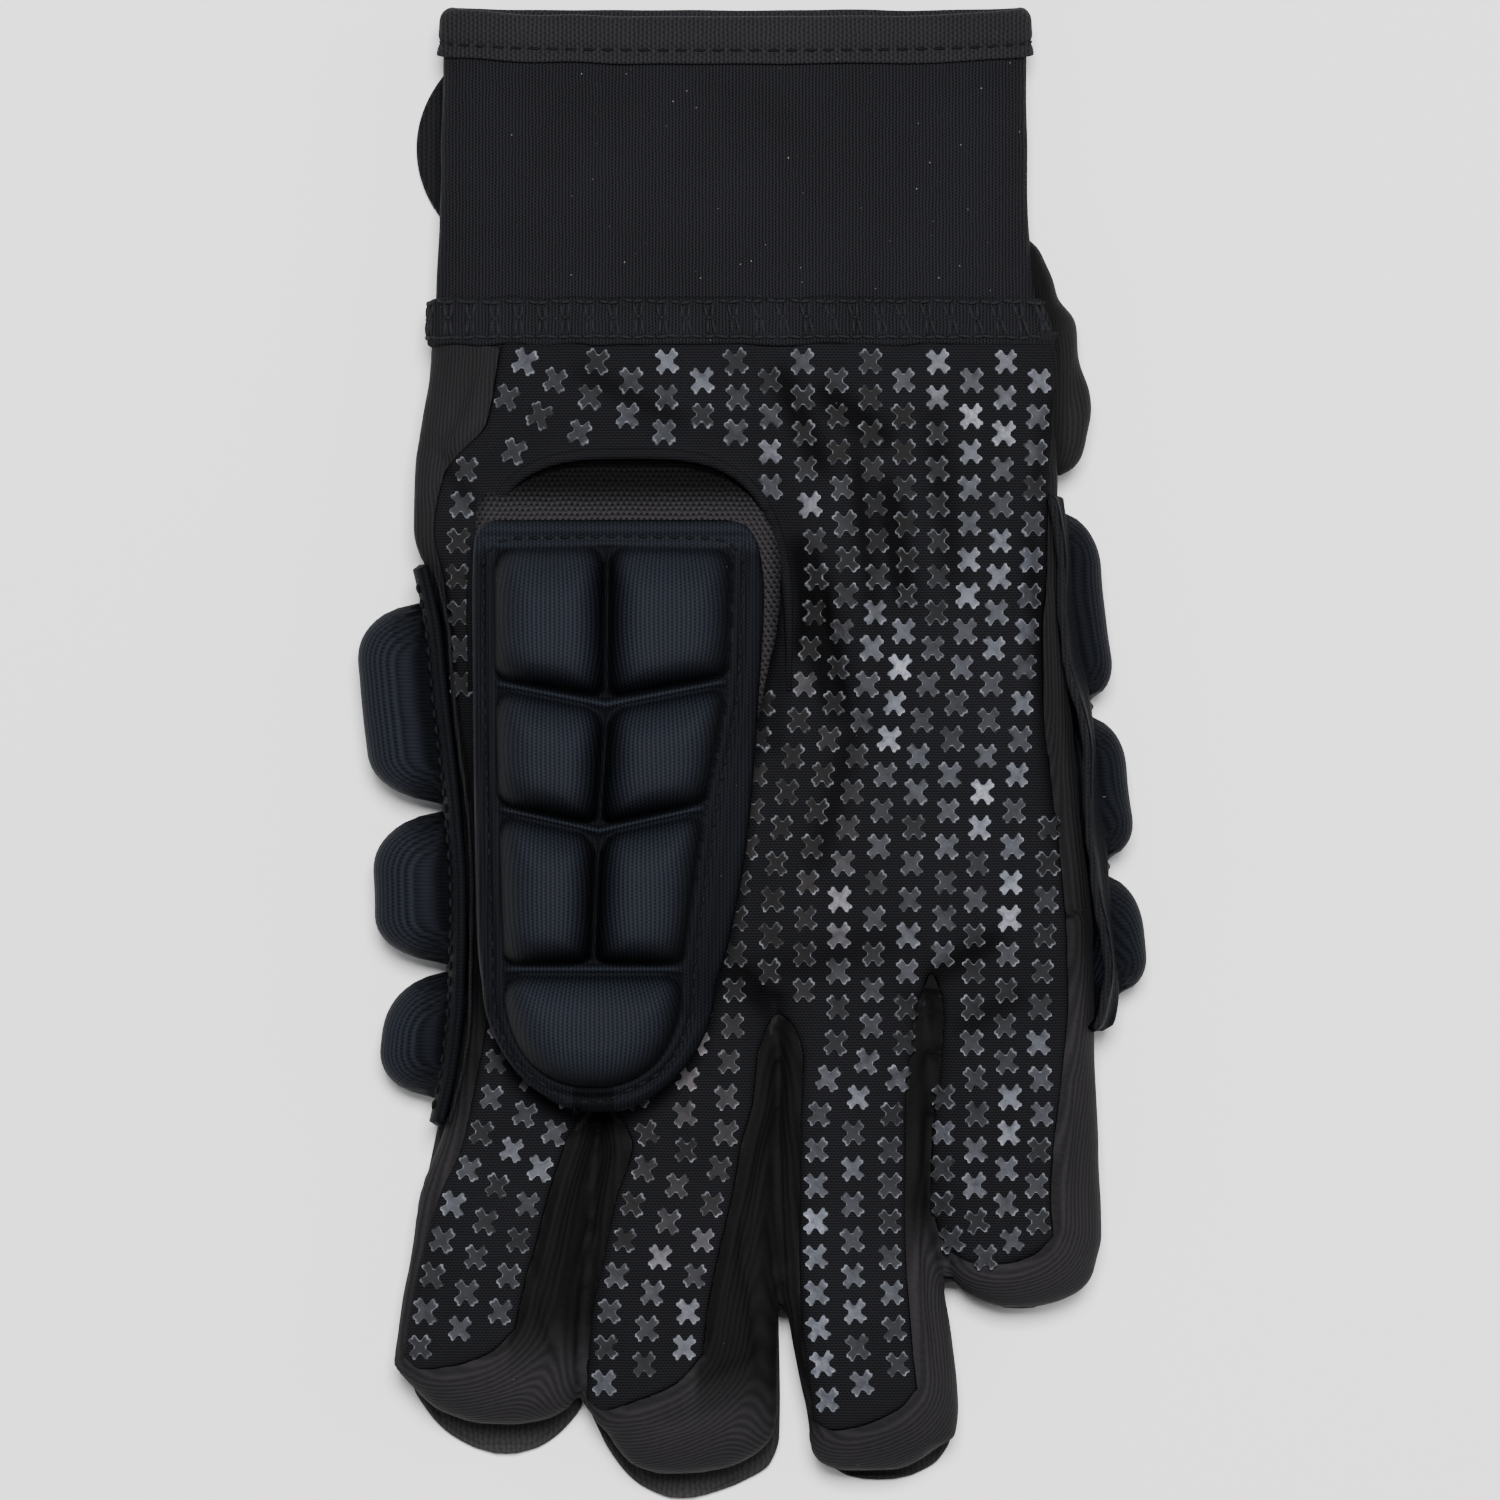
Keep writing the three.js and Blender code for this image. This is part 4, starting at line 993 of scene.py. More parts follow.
def printPlaces():  # x, y and lean of every cross that can be seen
    fingerOf = {}
    for strip, name in enumerate(fingerNames):
        first, shares = printShape["fingers"][name]
        for i, t in enumerate(shares):
            fingerOf[first + i] = (strip, t)

    def columnX(column, y):
        x = rowValue(printShape["places"], y, column + 1)
        if column in fingerOf and y < printShape["stripsBelow"]:
            strip, t = fingerOf[column]
            left, right = sidesAt(round(y, 3))[strip]
            x = mix(x, mix(left, right, t), ease((printShape["stripsBelow"] - y) / 18))
        return x

    spots = []
    for column in range(len(printShape["places"][0]) - 1):
        y = printShape["phases"][column % 2] + printShape["pitch"] * 12
        while y > printShape["lowest"]:
            x = columnX(column, y)
            seen = heightOn(panelSurface, x, y, None)[0] is not None
            clear = borderTree.find((x, y, 0))[2] > 1.3 and y < 65
            arched = 8 < y < 52 and archAway(x, y) < (1.6 if y > 40 else 0.1)
            left, right = blockEdges(y)
            under = -54 < y < 36 and left - 1 < x < right + 1
            onCloth = column in fingerOf or y > printShape["blankBelow"]
            if seen and clear and onCloth and not arched and not under:
                spots.append((x, y, math.atan2(columnX(column, y - 2) - x, 2) * 0.7))
            y -= printShape["pitch"]
    return spots


# painted highlight and shade of each cross: slow patches, a random share per cross, darker towards the
# wrist and in the shade spots
def printPaintedLight(x, y, chance):
    patch = 0.68 + 0.6 * wander(x, y, 0, 17, 3) + 0.35 * wander(x * 2.5, y * 0.6, 0, 20, 5)
    shade = patch * mix(0.36, 1.22, chance) * mix(1.0, 0.9, ease((y - 30) / 20))
    for px, py, reachX, reachY, dim in printShape["paintedShadeSpots"]:
        shade *= 1 - dim * bell(math.hypot((x - px) / reachX, (y - py) / reachY))
    return clamp(shade, 0.1, 1.02)


def printWarmth(x, y):
    warmth = 0.3 * wander(x, y, 0, 24, 8)
    for px, py, reachX, reachY, share in printShape["warmSpots"]:
        warmth += share * bell(math.hypot((x - px) / reachX, (y - py) / reachY))
    return clamp(warmth)


def buildPrints():
    randomOf = random.Random(printShape["seed"])
    outline = crossOutline()
    corners = len(outline)
    points, faces, tints, edges = [], [], [], []
    bright, warm = colourOf(*printShape["bright"]), colourOf(*printShape["warm"])
    spots = printPlaces()
    for x, y, lean in spots:
        lean += randomOf.uniform(-0.06, 0.06)
        # the tint carries each cross's painted highlight and shade, and the painted shadow of the palm's
        # creases
        shade, warmth = printPaintedLight(x, y, randomOf.random()), printWarmth(x, y)
        tint = [mix(bright[k], warm[k] * 1.6, warmth) * shade * shade for k in range(3)]
        cosine, sine = math.cos(lean), math.sin(lean)
        swell = 1 + 0.05 * randomOf.uniform(-1, 1)
        tip, roll = randomOf.uniform(-0.05, 0.05), randomOf.uniform(-0.05, 0.05)
        start = len(points)
        z0, n0 = heightOn(panelSurface, x, y)
        for size, share, rim in printShape["rings"]:
            for ox, oy in outline:
                px = x + (ox * cosine - oy * sine) * swell * size
                py = y + (ox * sine + oy * cosine) * swell * size
                z, normal = heightOn(panelSurface, px, py, fallback=None)
                if z is None:
                    z, normal = z0, n0
                rise = printShape["rise"] * share + (tip * (px - x) + roll * (py - y)) * (share > 0)
                points.append((Vector((px, py, z)) + normal * rise) * mm)
                tints += [*(part * foldShade(px, py) ** 2 for part in tint), 1.0]
                edges.append(rim)
        for i in range(corners):
            j = (i + 1) % corners
            for ring in (0, 1):
                a, b = start + ring * corners, start + (ring + 1) * corners
                faces.append((a + i, a + j, b + j, b + i))
        faces.append(tuple(start + 2 * corners + i for i in range(corners)))
    prints = meshPiece("gripPrints", points, faces)
    prints.data.attributes.new("tint", "FLOAT_COLOR", "POINT").data.foreach_set("color", tints)
    writeValues(prints, "edge", edges)
    finishPiece(prints, "gripPrint", "grip_print", angle=60)
    print("grip prints:", len(spots))


thicken(palmPanel, panelShape["thick"])
writeValues(palmPanel, "open", [foldShade(p.x, p.y) for p in spotsOf(palmPanel)])
finishPiece(palmPanel, "palmCloth", "palm_cloth", "palm_panel")

# cuff, its binding and the seam band

cuffShape = {  # sides: y, left and right
    "sides": [(123, -50.4, 45.8), (112, -51, 46.1), (92, -51.6, 46.2), (78, -52.2, 47.2),
              (66, -52.6, 50.2)],
    "wall": 2.4, "rim": 122.0, "foot": 66.4, "rimDip": 2.0,
    "binding": {"low": 115.0, "high": 122.9, "out": 0.8, "round": 2.2, "stitchUp": 2.2, "stitchPitch": 3.0},
    "band": {"low": 66.6, "high": 74.6, "rise": 0.9, "loopPitch": 3.9},
}


def cuffPoint(u, y, out=0.0):
    left, right = rowValue(cuffShape["sides"], y, 1) - out, rowValue(cuffShape["sides"], y, 2) + out
    low, high = handHeights(round(y, 3))
    x, y, z = ovalPoint(u, y, left, right, low - out, high + out, handShape["squareness"])
    upper = max(0.0, math.sin(2 * math.pi * u))
    return Vector((x, y - cuffShape["rimDip"] * clamp((y - 74) / 40) * upper, z))


def cuffSag(x, y, z):
    return 0.55 * wander(x, y * 0.5, z, 26, 2) + 0.25 * wander(x, y, z, 8, 9)


@lru_cache(maxsize=None)
def ringShares(y):  # shares of a turn at even distances round the cuff
    points = [cuffPoint(i / 720, y) for i in range(721)]
    marks = [0.0]
    for a, b in zip(points, points[1:]):
        marks.append(marks[-1] + (b - a).length)
    return marks


def shareAt(distance, y):
    marks = ringShares(y)
    distance = distance % marks[-1]
    i = next(k for k in range(1, len(marks)) if marks[k] >= distance)
    return (i - 1 + (distance - marks[i - 1]) / (marks[i] - marks[i - 1])) / 720


def cuffOut(u, y):
    return (cuffPoint(u, y, 1.0) - cuffPoint(u, y, 0.0)).normalized()


def buildCuff():
    def place(u, v):
        y = mix(cuffShape["rim"], cuffShape["foot"], v)
        p = cuffPoint(u, y, 0)
        return cuffPoint(u, y, cuffSag(*p) * math.sin(math.pi * v) ** 0.5 - 0.2)
    cuff = weld(gridPiece("cuffTube", 150, 44, place))
    thicken(cuff, cuffShape["wall"] - 0.2)
    finishPiece(cuff, "cuffJersey", "cuff_jersey", "cuff")


def bindingGroove(y):
    return -0.4 * bell((y - cuffShape["binding"]["low"] - cuffShape["binding"]["stitchUp"]) / 0.7)


def buildBinding():
    b = cuffShape["binding"]
    foldAt, span = b["high"] - b["round"], cuffShape["wall"] + 1.5
    profile = []  # out from the cuff's outer face, and y
    for i in range(15):
        y = mix(b["low"], foldAt, i / 14)
        profile.append((b["out"] + bindingGroove(y) + 0.15 * bell((y - b["low"] - 0.4) / 0.6), y))
    for i in range(1, 8):
        turn = math.pi * i / 8
        across = span / 2 * (math.cos(turn) - 1)
        profile.append((b["out"] + across, foldAt + b["round"] * math.sin(turn)))
    for i in range(7):
        profile.append((b["out"] - span, mix(foldAt, b["low"] + 0.5, i / 6)))

    def place(u, v):
        out, y = profile[round(v * (len(profile) - 1))]
        p = cuffPoint(u, y, out)
        sway = 0.3 * wander(p.x, p.z, 0, 10, 4)
        if out > 0:  # the outer face puckers along its stitches
            puckers = 0.13 * math.sin(u * 2 * math.pi * 66 + wander(p.x, 0, p.z, 8))
            puckers *= bell((y - b["low"] - b["stitchUp"]) / 1.6)
            out += puckers + 0.18 * wander(p.x, p.z, 0, 6, 2)
        return cuffPoint(u, y + sway, out)
    binding = weld(gridPiece("cuffBinding", 260, len(profile) - 1, place))
    thicken(binding, 0.55)
    finishPiece(binding, "bindingTape", "binding_tape", "cuff_binding")


def buildBindingStitches():
    b = cuffShape["binding"]
    y = b["low"] + b["stitchUp"]
    dashes, distance = [], 0.0
    while distance < ringShares(y)[-1] - 1:
        ends = []
        for step in (0.2, 2.3):
            u = shareAt(distance + step, y)
            ends.append(cuffPoint(u, y, 0.62))
        dashes.append((ends[0], ends[1], cuffOut(u, y)))
        distance += b["stitchPitch"]
    stitchPiece("bindingStitches", dashes, 0.24)


def buildBand():
    band = cuffShape["band"]

    def place(u, v):
        y = mix(band["high"], band["low"], v)
        edge = roundRise(min(v, 1 - v) / 0.16)
        p = cuffPoint(u, y)
        ridge = 0.28 * bell((v - 0.16) / 0.07) + 0.28 * bell((v - 0.86) / 0.07)
        puckers = 0.16 * math.sin(u * 2 * math.pi * 46 + 0.8 * wander(p.x, 0, p.z, 9))
        puckers *= 0.4 + bell((v - 0.5) / 0.3)
        sway = 0.45 * wander(p.x, p.z, 0, 6, 6)
        return cuffPoint(u, y + sway, 0.1 + band["rise"] * edge - ridge * 0.8 + puckers)
    piece = weld(gridPiece("seamBand", 300, 22, place))
    thicken(piece, 0.6)
    finishPiece(piece, "cuffJersey", "cuff_jersey", "wrist_seam_band")


def buildBandLoops():  # chain loops of the cover seam, one unit repeated round the wrist
    band = cuffShape["band"]
    randomOf = random.Random(4)
    middle = (band["low"] + band["high"]) / 2
    unit = [((0.2, 68.2), (0.5, 71.2)), ((0.5, 71.0), (0.1, 73.7)), ((1.5, 68.3), (1.2, 71.1)),
            ((1.2, 71.0), (1.6, 73.6)), ((-0.2, 73.9), (1.7, 73.6)), ((1.5, 73.7), (3.2, 74.0)),
            ((0.1, 68.1), (2.2, 67.9)), ((2.1, 67.9), (4.5, 68.2)), ((0.4, 71.3), (1.4, 71.0))]
    dashes, distance = [], 0.0
    while distance < ringShares(middle)[-1] - 2:
        jitter = [randomOf.uniform(-0.3, 0.3) for _ in range(3)]
        for ends in unit:
            spots = []
            for s, y in ends:
                y += jitter[0] * (0.5 if y > 70 else -0.3)
                u = shareAt(distance + s + jitter[1] * 0.5, middle)
                spots.append(cuffPoint(u, y, 0.98))
            dashes.append((spots[0], spots[1], cuffOut(u, middle)))
        distance += band["loopPitch"]
    stitchPiece("bandLoops", dashes, 0.36, 0.1, "loopThread")


buildCuff()
buildBinding()
buildBand()
buildBindingStitches()
buildBandLoops()
print("cuff done")

# thumb sleeve and its foam pad

thumbShape = {
    # y, middle, half the width, underside and top
    "sides": [(50.5, -20.5, 12, 17, 24.5), (48, -20.5, 20.5, 17, 27), (45, -20.5, 23, 17.5, 29.6),
              (42, -20.5, 24, 18, 33), (38.5, -20.3, 24.8, 18, 37), (30, -19.8, 25, 20, 40.4),
              (20, -20.2, 24.6, 24.5, 41.6), (11, -21, 23.6, 28.9, 42), (0, -22, 22.2, 28.9, 42),
              (-8, -22.4, 21.6, 28.9, 42), (-26, -23.8, 19.4, 28.7, 41.4), (-42, -25, 15.6, 27, 39.6),
              (-50, -25.2, 11.6, 26, 38), (-56, -25.4, 6.5, 25.6, 36), (-58.6, -25.4, 2, 28, 32.6)],
    # y, left and right, of the stitched sheet and of the foam
    "sheet": [(37.6, -41.6, -3.6), (37.2, -43.2, -1.6), (36.2, -44.4, -0.2), (34.6, -45, 0.9),
              (32, -45.3, 1.7), (26, -45.4, 2.3), (8, -45.3, 1.4), (-13, -45, -0.2), (-31, -44.6, -3.3),
              (-38.7, -43.8, -5.6), (-46.2, -41.6, -8.2), (-53.7, -36.8, -13.4), (-57.4, -31.8, -19),
              (-59.2, -27.4, -24)],
    "blocks": [(32.8, -41.9, -2.7), (11.2, -41.7, -3.6), (-8.5, -41.2, -7), (-36, -40.3, -10.9)],
    # grid row, y outside, and how far down it lies at the middle
    "stations": [(0, 37.6, 0), (10, 32.8, -0.5), (52, 11.8, 3.6), (57, 10.4, 3.8), (97, -8.7, 3.8),
                 (102, -10.1, 3.8), (146, -35, 0), (151, -36.6, 0), (190, -55, 0), (200, -59.2, 0)],
    "columns": [0, 12, 46, 50, 84, 96],  # sheet, block, groove, groove, block, sheet
    "end": {"x": -25.6, "y": -36.6, "half": 14.8, "tall": 18.4, "power": 2.3},
    "sheetEnd": {"x": -24.7, "y": -38.7, "half": 19.1, "tall": 20.6, "power": 1.85},
    "crown": 2.2, "sheetRise": 2.2, "height": 9.4, "grooveHalf": 0.3,
}


def thumbTop(x, y):
    rows = thumbShape["sides"]
    tip = clamp((-44 - y) / 15)
    y = clamp(y, -44, 30)
    side = (x - rowValue(rows, y, 1)) / rowValue(rows, y, 2)
    return rowValue(rows, y, 4) + 0.6 - thumbShape["crown"] * min(side * side, 1.3) - 2.4 * tip * tip


def thumbPaintedShade(x, y):  # painted shade: dark where the sleeve goes in under the arch, and darker down its sides
    return mix(1.0, 0.12, ease((y - 37.5) / 6.5)) * mix(1.0, 0.5, ease((abs(x + 20) - 22.5) / 2))


def buildThumb():
    rows = thumbShape["sides"]

    def place(u, v):
        y = mix(rows[0][0], rows[-1][0], clamp((v - 0.012) / 0.976))
        middle, half, low, high = (rowValue(rows, y, k) for k in (1, 2, 3, 4))
        if v < 0.006 or v > 0.994:
            return (middle, y, (low + high) / 2)
        x, y, z = ovalPoint(u, y, middle - half, middle + half, low, high, 2.6)
        slack = 0.5 * wander(x, y, z, 12, 1) + 0.2 * wander(x, y, z, 4, 8)
        return (x + slack * math.cos(2 * math.pi * u), y, z + slack * math.sin(2 * math.pi * u) * 0.7)
    thumb = weld(gridPiece("thumbSleeve", 96, 110, place))
    writeValues(thumb, "open", [thumbPaintedShade(p.x, p.y) for p in spotsOf(thumb)])
    finishPiece(thumb, "meshCloth", "mesh_cloth", "thumb_tube")


padRows, padColumns = thumbShape["stations"][-1][0], thumbShape["columns"][-1]  # cells of the grid
blocksTop = thumbShape["blocks"][0][0]


def cushion(a, b, power=2.0):  # height share of a block with round corners, from its distances to two sides
    if a <= 0 or b <= 0:
        return 0.0
    far = ((1 - min(a, 1)) ** power + (1 - min(b, 1)) ** power) ** (1 / power)
    return roundRise(1 - far, 2.1)


def endAway(end, x, y):  # distance out from a rounded tip, negative inside
    return roundedAway(end, x - end["x"], max(0.0, end["y"] - y))


def endHalf(end, y):  # half width of a rounded tip, a little short of closing
    down = 0.985 * clamp((end["y"] - y) / end["tall"])
    return end["half"] * (1 - down ** end["power"]) ** (1 / end["power"])


def edgesAt(rows, end, y):
    if y >= end["y"]:
        return rowValue(rows, y, 1), rowValue(rows, y, 2)
    return end["x"] - endHalf(end, y), end["x"] + endHalf(end, y)


def blockEdges(y):  # left and right of the foam at y
    return edgesAt(thumbShape["blocks"], thumbShape["end"], y)


def sheetEdges(y):  # left and right of the stitched sheet at y
    return edgesAt(thumbShape["sheet"], thumbShape["sheetEnd"], y)


def thumbSpot(u, v):
    s = thumbShape
    row, column = v * padRows, u * padColumns
    yOuter = through([(a, b) for a, b, c in s["stations"]], row)
    sag = through([(a, c) for a, b, c in s["stations"]], row)
    left, right = blockEdges(yOuter)
    sheetLeft, sheetRight = sheetEdges(yOuter)
    if yOuter > blocksTop:
        grow = clamp((yOuter - blocksTop) / 4)
        left, right = mix(left, sheetLeft + 0.5, grow), mix(right, sheetRight - 0.5, grow)
    middle = mix((left + right) / 2 - 1.0 * clamp((yOuter + 40) / 60), s["end"]["x"],
                 clamp((-35 - yOuter) / 3))
    gap = s["grooveHalf"] * clamp((right - left) / 10)
    x = through(list(zip(s["columns"], (sheetLeft, left, middle - gap, middle + gap, right, sheetRight))),
                column)
    share = 1 - clamp(abs(x - middle) / max(0.5, (right - left) / 2))
    return x, yOuter - sag * share, left, right, middle, gap, share


def rowEdges(row, share):  # top and low side of the foam blocks that a grid row belongs to
    stations = thumbShape["stations"]
    for a, b in ((1, 2), (3, 4), (5, 6), (7, 8)):
        if stations[a][0] <= row <= stations[b][0]:
            return stations[a][1] - stations[a][2] * share, stations[b][1] - stations[b][2] * share, a == 7
    return None


def thumbRise(u, v):
    x, y, left, right, middle, gap, share = thumbSpot(u, v)
    row = v * padRows
    found = rowEdges(row, share)
    far = endAway(thumbShape["end"], x, y) if y < thumbShape["end"]["y"] else max(left - x, x - right, 0.0)
    rise = lit = 0.0
    if found:
        top, low, isEnd = found
        ahead, behind = top - y, y - low
        if isEnd:
            aside, behind = -far, 99.0
        elif x < middle:
            aside = min(x - left, middle - gap - x)
        else:
            aside = min(x - middle - gap, right - x)
        rise = thumbShape["height"] * cushion(aside / 6.5, min(ahead / 9, behind / 4.5), 4)
        # painted light and shade: each block lit at its crown and dark towards its edges
        lit = ease(0.1 + aside / 5) * ease(0.4 + ahead / 4) * ease(0.06 + behind / 7.5)
    weldRidge = 0.0
    for a, b in ((2, 3), (4, 5), (6, 7)):
        centre = (thumbShape["stations"][a][0] + thumbShape["stations"][b][0]) / 2
        if left < x < right:
            ridge = 1.3 * bell((row - centre) / 1.8)
            weldRidge = max(weldRidge, ridge * roundRise(min(x - left, right - x) / 4))
    aboveBlocks = row < thumbShape["stations"][1][0]
    if aboveBlocks:
        far = math.hypot(far, max(0.0, y - blocksTop))
    flange = 0.0
    if far > 0:
        flange = 0.3 * bell((far - 3.2) / 0.8) + 0.25 * bell((far - 0.9) / 0.5)
        flange -= 0.35 * bell((far - 1.9) / 0.45)
    # painted shade: the sheet and flange darker, lighter along the top; the grooves dark but for the weld
    # ridges
    if aboveBlocks or not left < x < right:
        lit = mix(0.34, 0.8, ease((y - 31.6) / 2))
    elif found:
        lit = mix(0.08, 1.0, lit)
    else:
        lit = mix(0.1, 0.95, clamp(weldRidge))
    return rise + weldRidge + flange, lit


def buildThumbPad():
    flows, opens = [], []

    def place(u, v):
        x, y, left, right, middle, _, share = thumbSpot(u, v)
        sheetLeft, sheetRight = sheetEdges(y)
        border = min(x - sheetLeft, sheetRight - x, thumbShape["sheet"][0][0] - y)
        if y < thumbShape["sheetEnd"]["y"]:
            border = -endAway(thumbShape["sheetEnd"], x, y)
        lift, lit = thumbRise(u, v)
        found = rowEdges(v * padRows, share)
        bow = 0.0
        if found and left < x < right:  # the ribs bow out over each block
            top, low, isEnd = found
            outer = left if x < middle else right
            centre = (left + right) / 2 if isEnd else (outer + middle) / 2
            bow = 0.2 * (x - centre) * (1 - ((2 * y - top - low) / (top - low)) ** 2)
        flows.append((x - bow, y, 0.0))
        opens.append(lit)
        rim = roundRise(max(0.0, border) / 1.2)
        lift += thumbShape["sheetRise"] * mix(0.15, 1, rim) + 0.14 * wander(x, y, 0, 7, 3)
        return (x, y, thumbTop(x, y) + lift)
    pad = gridPiece("thumbPad", padColumns, padRows, place)
    writeFlow(pad, flows)
    writeValues(pad, "open", opens)
    faceUp(pad)
    surface = surfaceOf(pad)
    thicken(pad, 1.6)
    finishPiece(pad, "padCloth", "pad_cloth", "thumb_pad_base",
                *["thumb_block_%d" % i for i in range(1, 8)])
    return surface


def buildThumbStitches(surface):
    # down one side of the blocks, round the tip, up the other and over the top
    high, low, away = 30.5, -54, 1.7
    down, up = [], []
    for i in range(61):
        y = mix(high, low, i / 60)
        left, right = blockEdges(y)
        out = away * mix(1, 1.5, clamp((-48 - y) / 6))
        down.append((left - out, y))
        up.append((right + out, y))
    path = down + [(mix(down[-1][0], -18.6, t), -57.2 - 0.25 * math.sin(math.pi * t))
                   for t in (0.3, 0.5, 0.7)]
    path += reversed(up)
    last, first = path[-1], path[0]
    path += [(last[0] - 0.5, 32.2), (last[0] - 2.2, 33.9), (last[0] - 5, 34.6), (-20.5, 34.9),
             (first[0] + 5, 34.6), (first[0] + 2.2, 33.9), (first[0] + 0.5, 32.2), first]
    dashes = []
    for spot, along in evenRun([Vector((x, y, 0)) for x, y in path], 2.55):
        ends = []
        for step in (-0.85, 0.85):
            p = spot + along * step
            z, normal = heightOn(surface, p.x, p.y)
            ends.append(Vector((p.x, p.y, z + 0.08)))
        dashes.append((ends[0], ends[1], normal))
    stitchPiece("thumbPadStitches", dashes, 0.3)


buildThumb()
buildThumbStitches(buildThumbPad())
print("thumb done")

buildPrints()

# pad round the back of the hand

padShape = {
    "left": {"top": 30.5, "low": -62}, "right": {"top": 42, "low": -46.4},
    # y and x down each side
    "leftSide": [(30.5, -53.6), (20, -51.3), (8, -50.1), (-8, -48.3), (-25, -47.2), (-41, -47.6),
                 (-52, -48.8), (-62, -51)],
    "rightSide": [(42, 49.5), (34, 50.5), (25, 51.3), (15, 52.6), (8.4, 53.9), (1, 54.8), (-7.3, 55.5),
                  (-15.5, 56.6), (-24, 57.2), (-32, 58), (-39.5, 58.7), (-44, 58.2), (-46.4, 57.2)],
    "clearance": 1.0, "depth": 20.0, "squareness": 5.0, "leftRim": 160, "rightRim": 374, "sheet": 2.2,
    # upper and lower y of each row of blocks at the left, and the same at the right
    "rows": [(24, -9.4, 40.6, 8.2), (-10.4, -35.8, 6.8, -18.4), (-36.8, -57.8, -19.6, -41)],
    # shares of the way round where a column starts and ends, and its height in each row
    "columns": [(0.035, 0.275, (13.0, 13.8, 11.6)), (0.285, 0.495, (11, 11, 11)),
                (0.505, 0.715, (11, 11, 11)), (0.725, 0.955, (6.3, 6.3, 6.6))],
    "acrossCells": [11, 44, 4, 36, 4, 36, 4, 42, 12], "alongCells": [8, 34, 5, 26, 5, 22, 6],
    "length": 88.0,
}


@lru_cache(maxsize=None)
def padRing(v):
    yLeft = mix(padShape["left"]["top"], padShape["left"]["low"], v)
    yRight = mix(padShape["right"]["top"], padShape["right"]["low"], v)
    left, right = rowValue(padShape["leftSide"], yLeft, 1), rowValue(padShape["rightSide"], yRight, 1)
    half, deep, power = (right - left) / 2, padShape["depth"] / 2, 2 / padShape["squareness"]
    steps = 240
    marks, travelled, last = [], 0.0, None
    for i in range(steps + 1):
        angle = math.radians(mix(padShape["leftRim"], padShape["rightRim"], i / steps))
        c, s = math.cos(angle), math.sin(angle)
        p = (half * signedPower(c, power), deep * signedPower(s, power))
        if last:
            travelled += math.hypot(p[0] - last[0], p[1] - last[1])
        marks.append((travelled, p))
        last = p
    return yLeft, yRight, left, right, half, deep, marks


def padPoint(u, v, out):
    yLeft, yRight, left, right, half, deep, marks = padRing(round(v, 4))
    wanted = u * marks[-1][0]
    low, high = 0, len(marks) - 1
    while high - low > 1:
        centre = (low + high) // 2
        if marks[centre][0] < wanted:
            low = centre
        else:
            high = centre
    t = clamp((wanted - marks[low][0]) / max(1e-9, marks[high][0] - marks[low][0]))
    across, up = mix(marks[low][1][0], marks[high][1][0], t), mix(marks[low][1][1], marks[high][1][1], t)
    q = padShape["squareness"] - 1
    slopeX = math.copysign((abs(across) / half) ** q / half, across)
    slopeZ = math.copysign((abs(up) / deep) ** q / deep, up)
    steep = math.hypot(slopeX, slopeZ)
    x = (left + right) / 2 + across
    y = mix(yLeft, yRight, clamp((x - left) / (right - left)))
    middle = handHeights(round(y, 3))[0] - padShape["clearance"] + deep
    return Vector((x + out * slopeX / steep, y, middle + up + out * slopeZ / steep))


def padShare(side, y):
    span = padShape[side]
    return (span["top"] - y) / (span["top"] - span["low"])


def cellStops(cells, values):
    total, at = sum(cells), 0
    stops = [(0.0, values[0])]
    for cell, value in zip(cells, values[1:]):
        at += cell
        stops.append((at / total, value))
    return stops


def padRowKnots(u):  # rows of blocks lean from one side of the hand to the other
    knots = [0.0]
    for leftTop, leftLow, rightTop, rightLow in padShape["rows"]:
        knots.append(mix(padShare("left", leftTop), padShare("right", rightTop), u))
        knots.append(mix(padShare("left", leftLow), padShare("right", rightLow), u))
    return knots + [1.0]


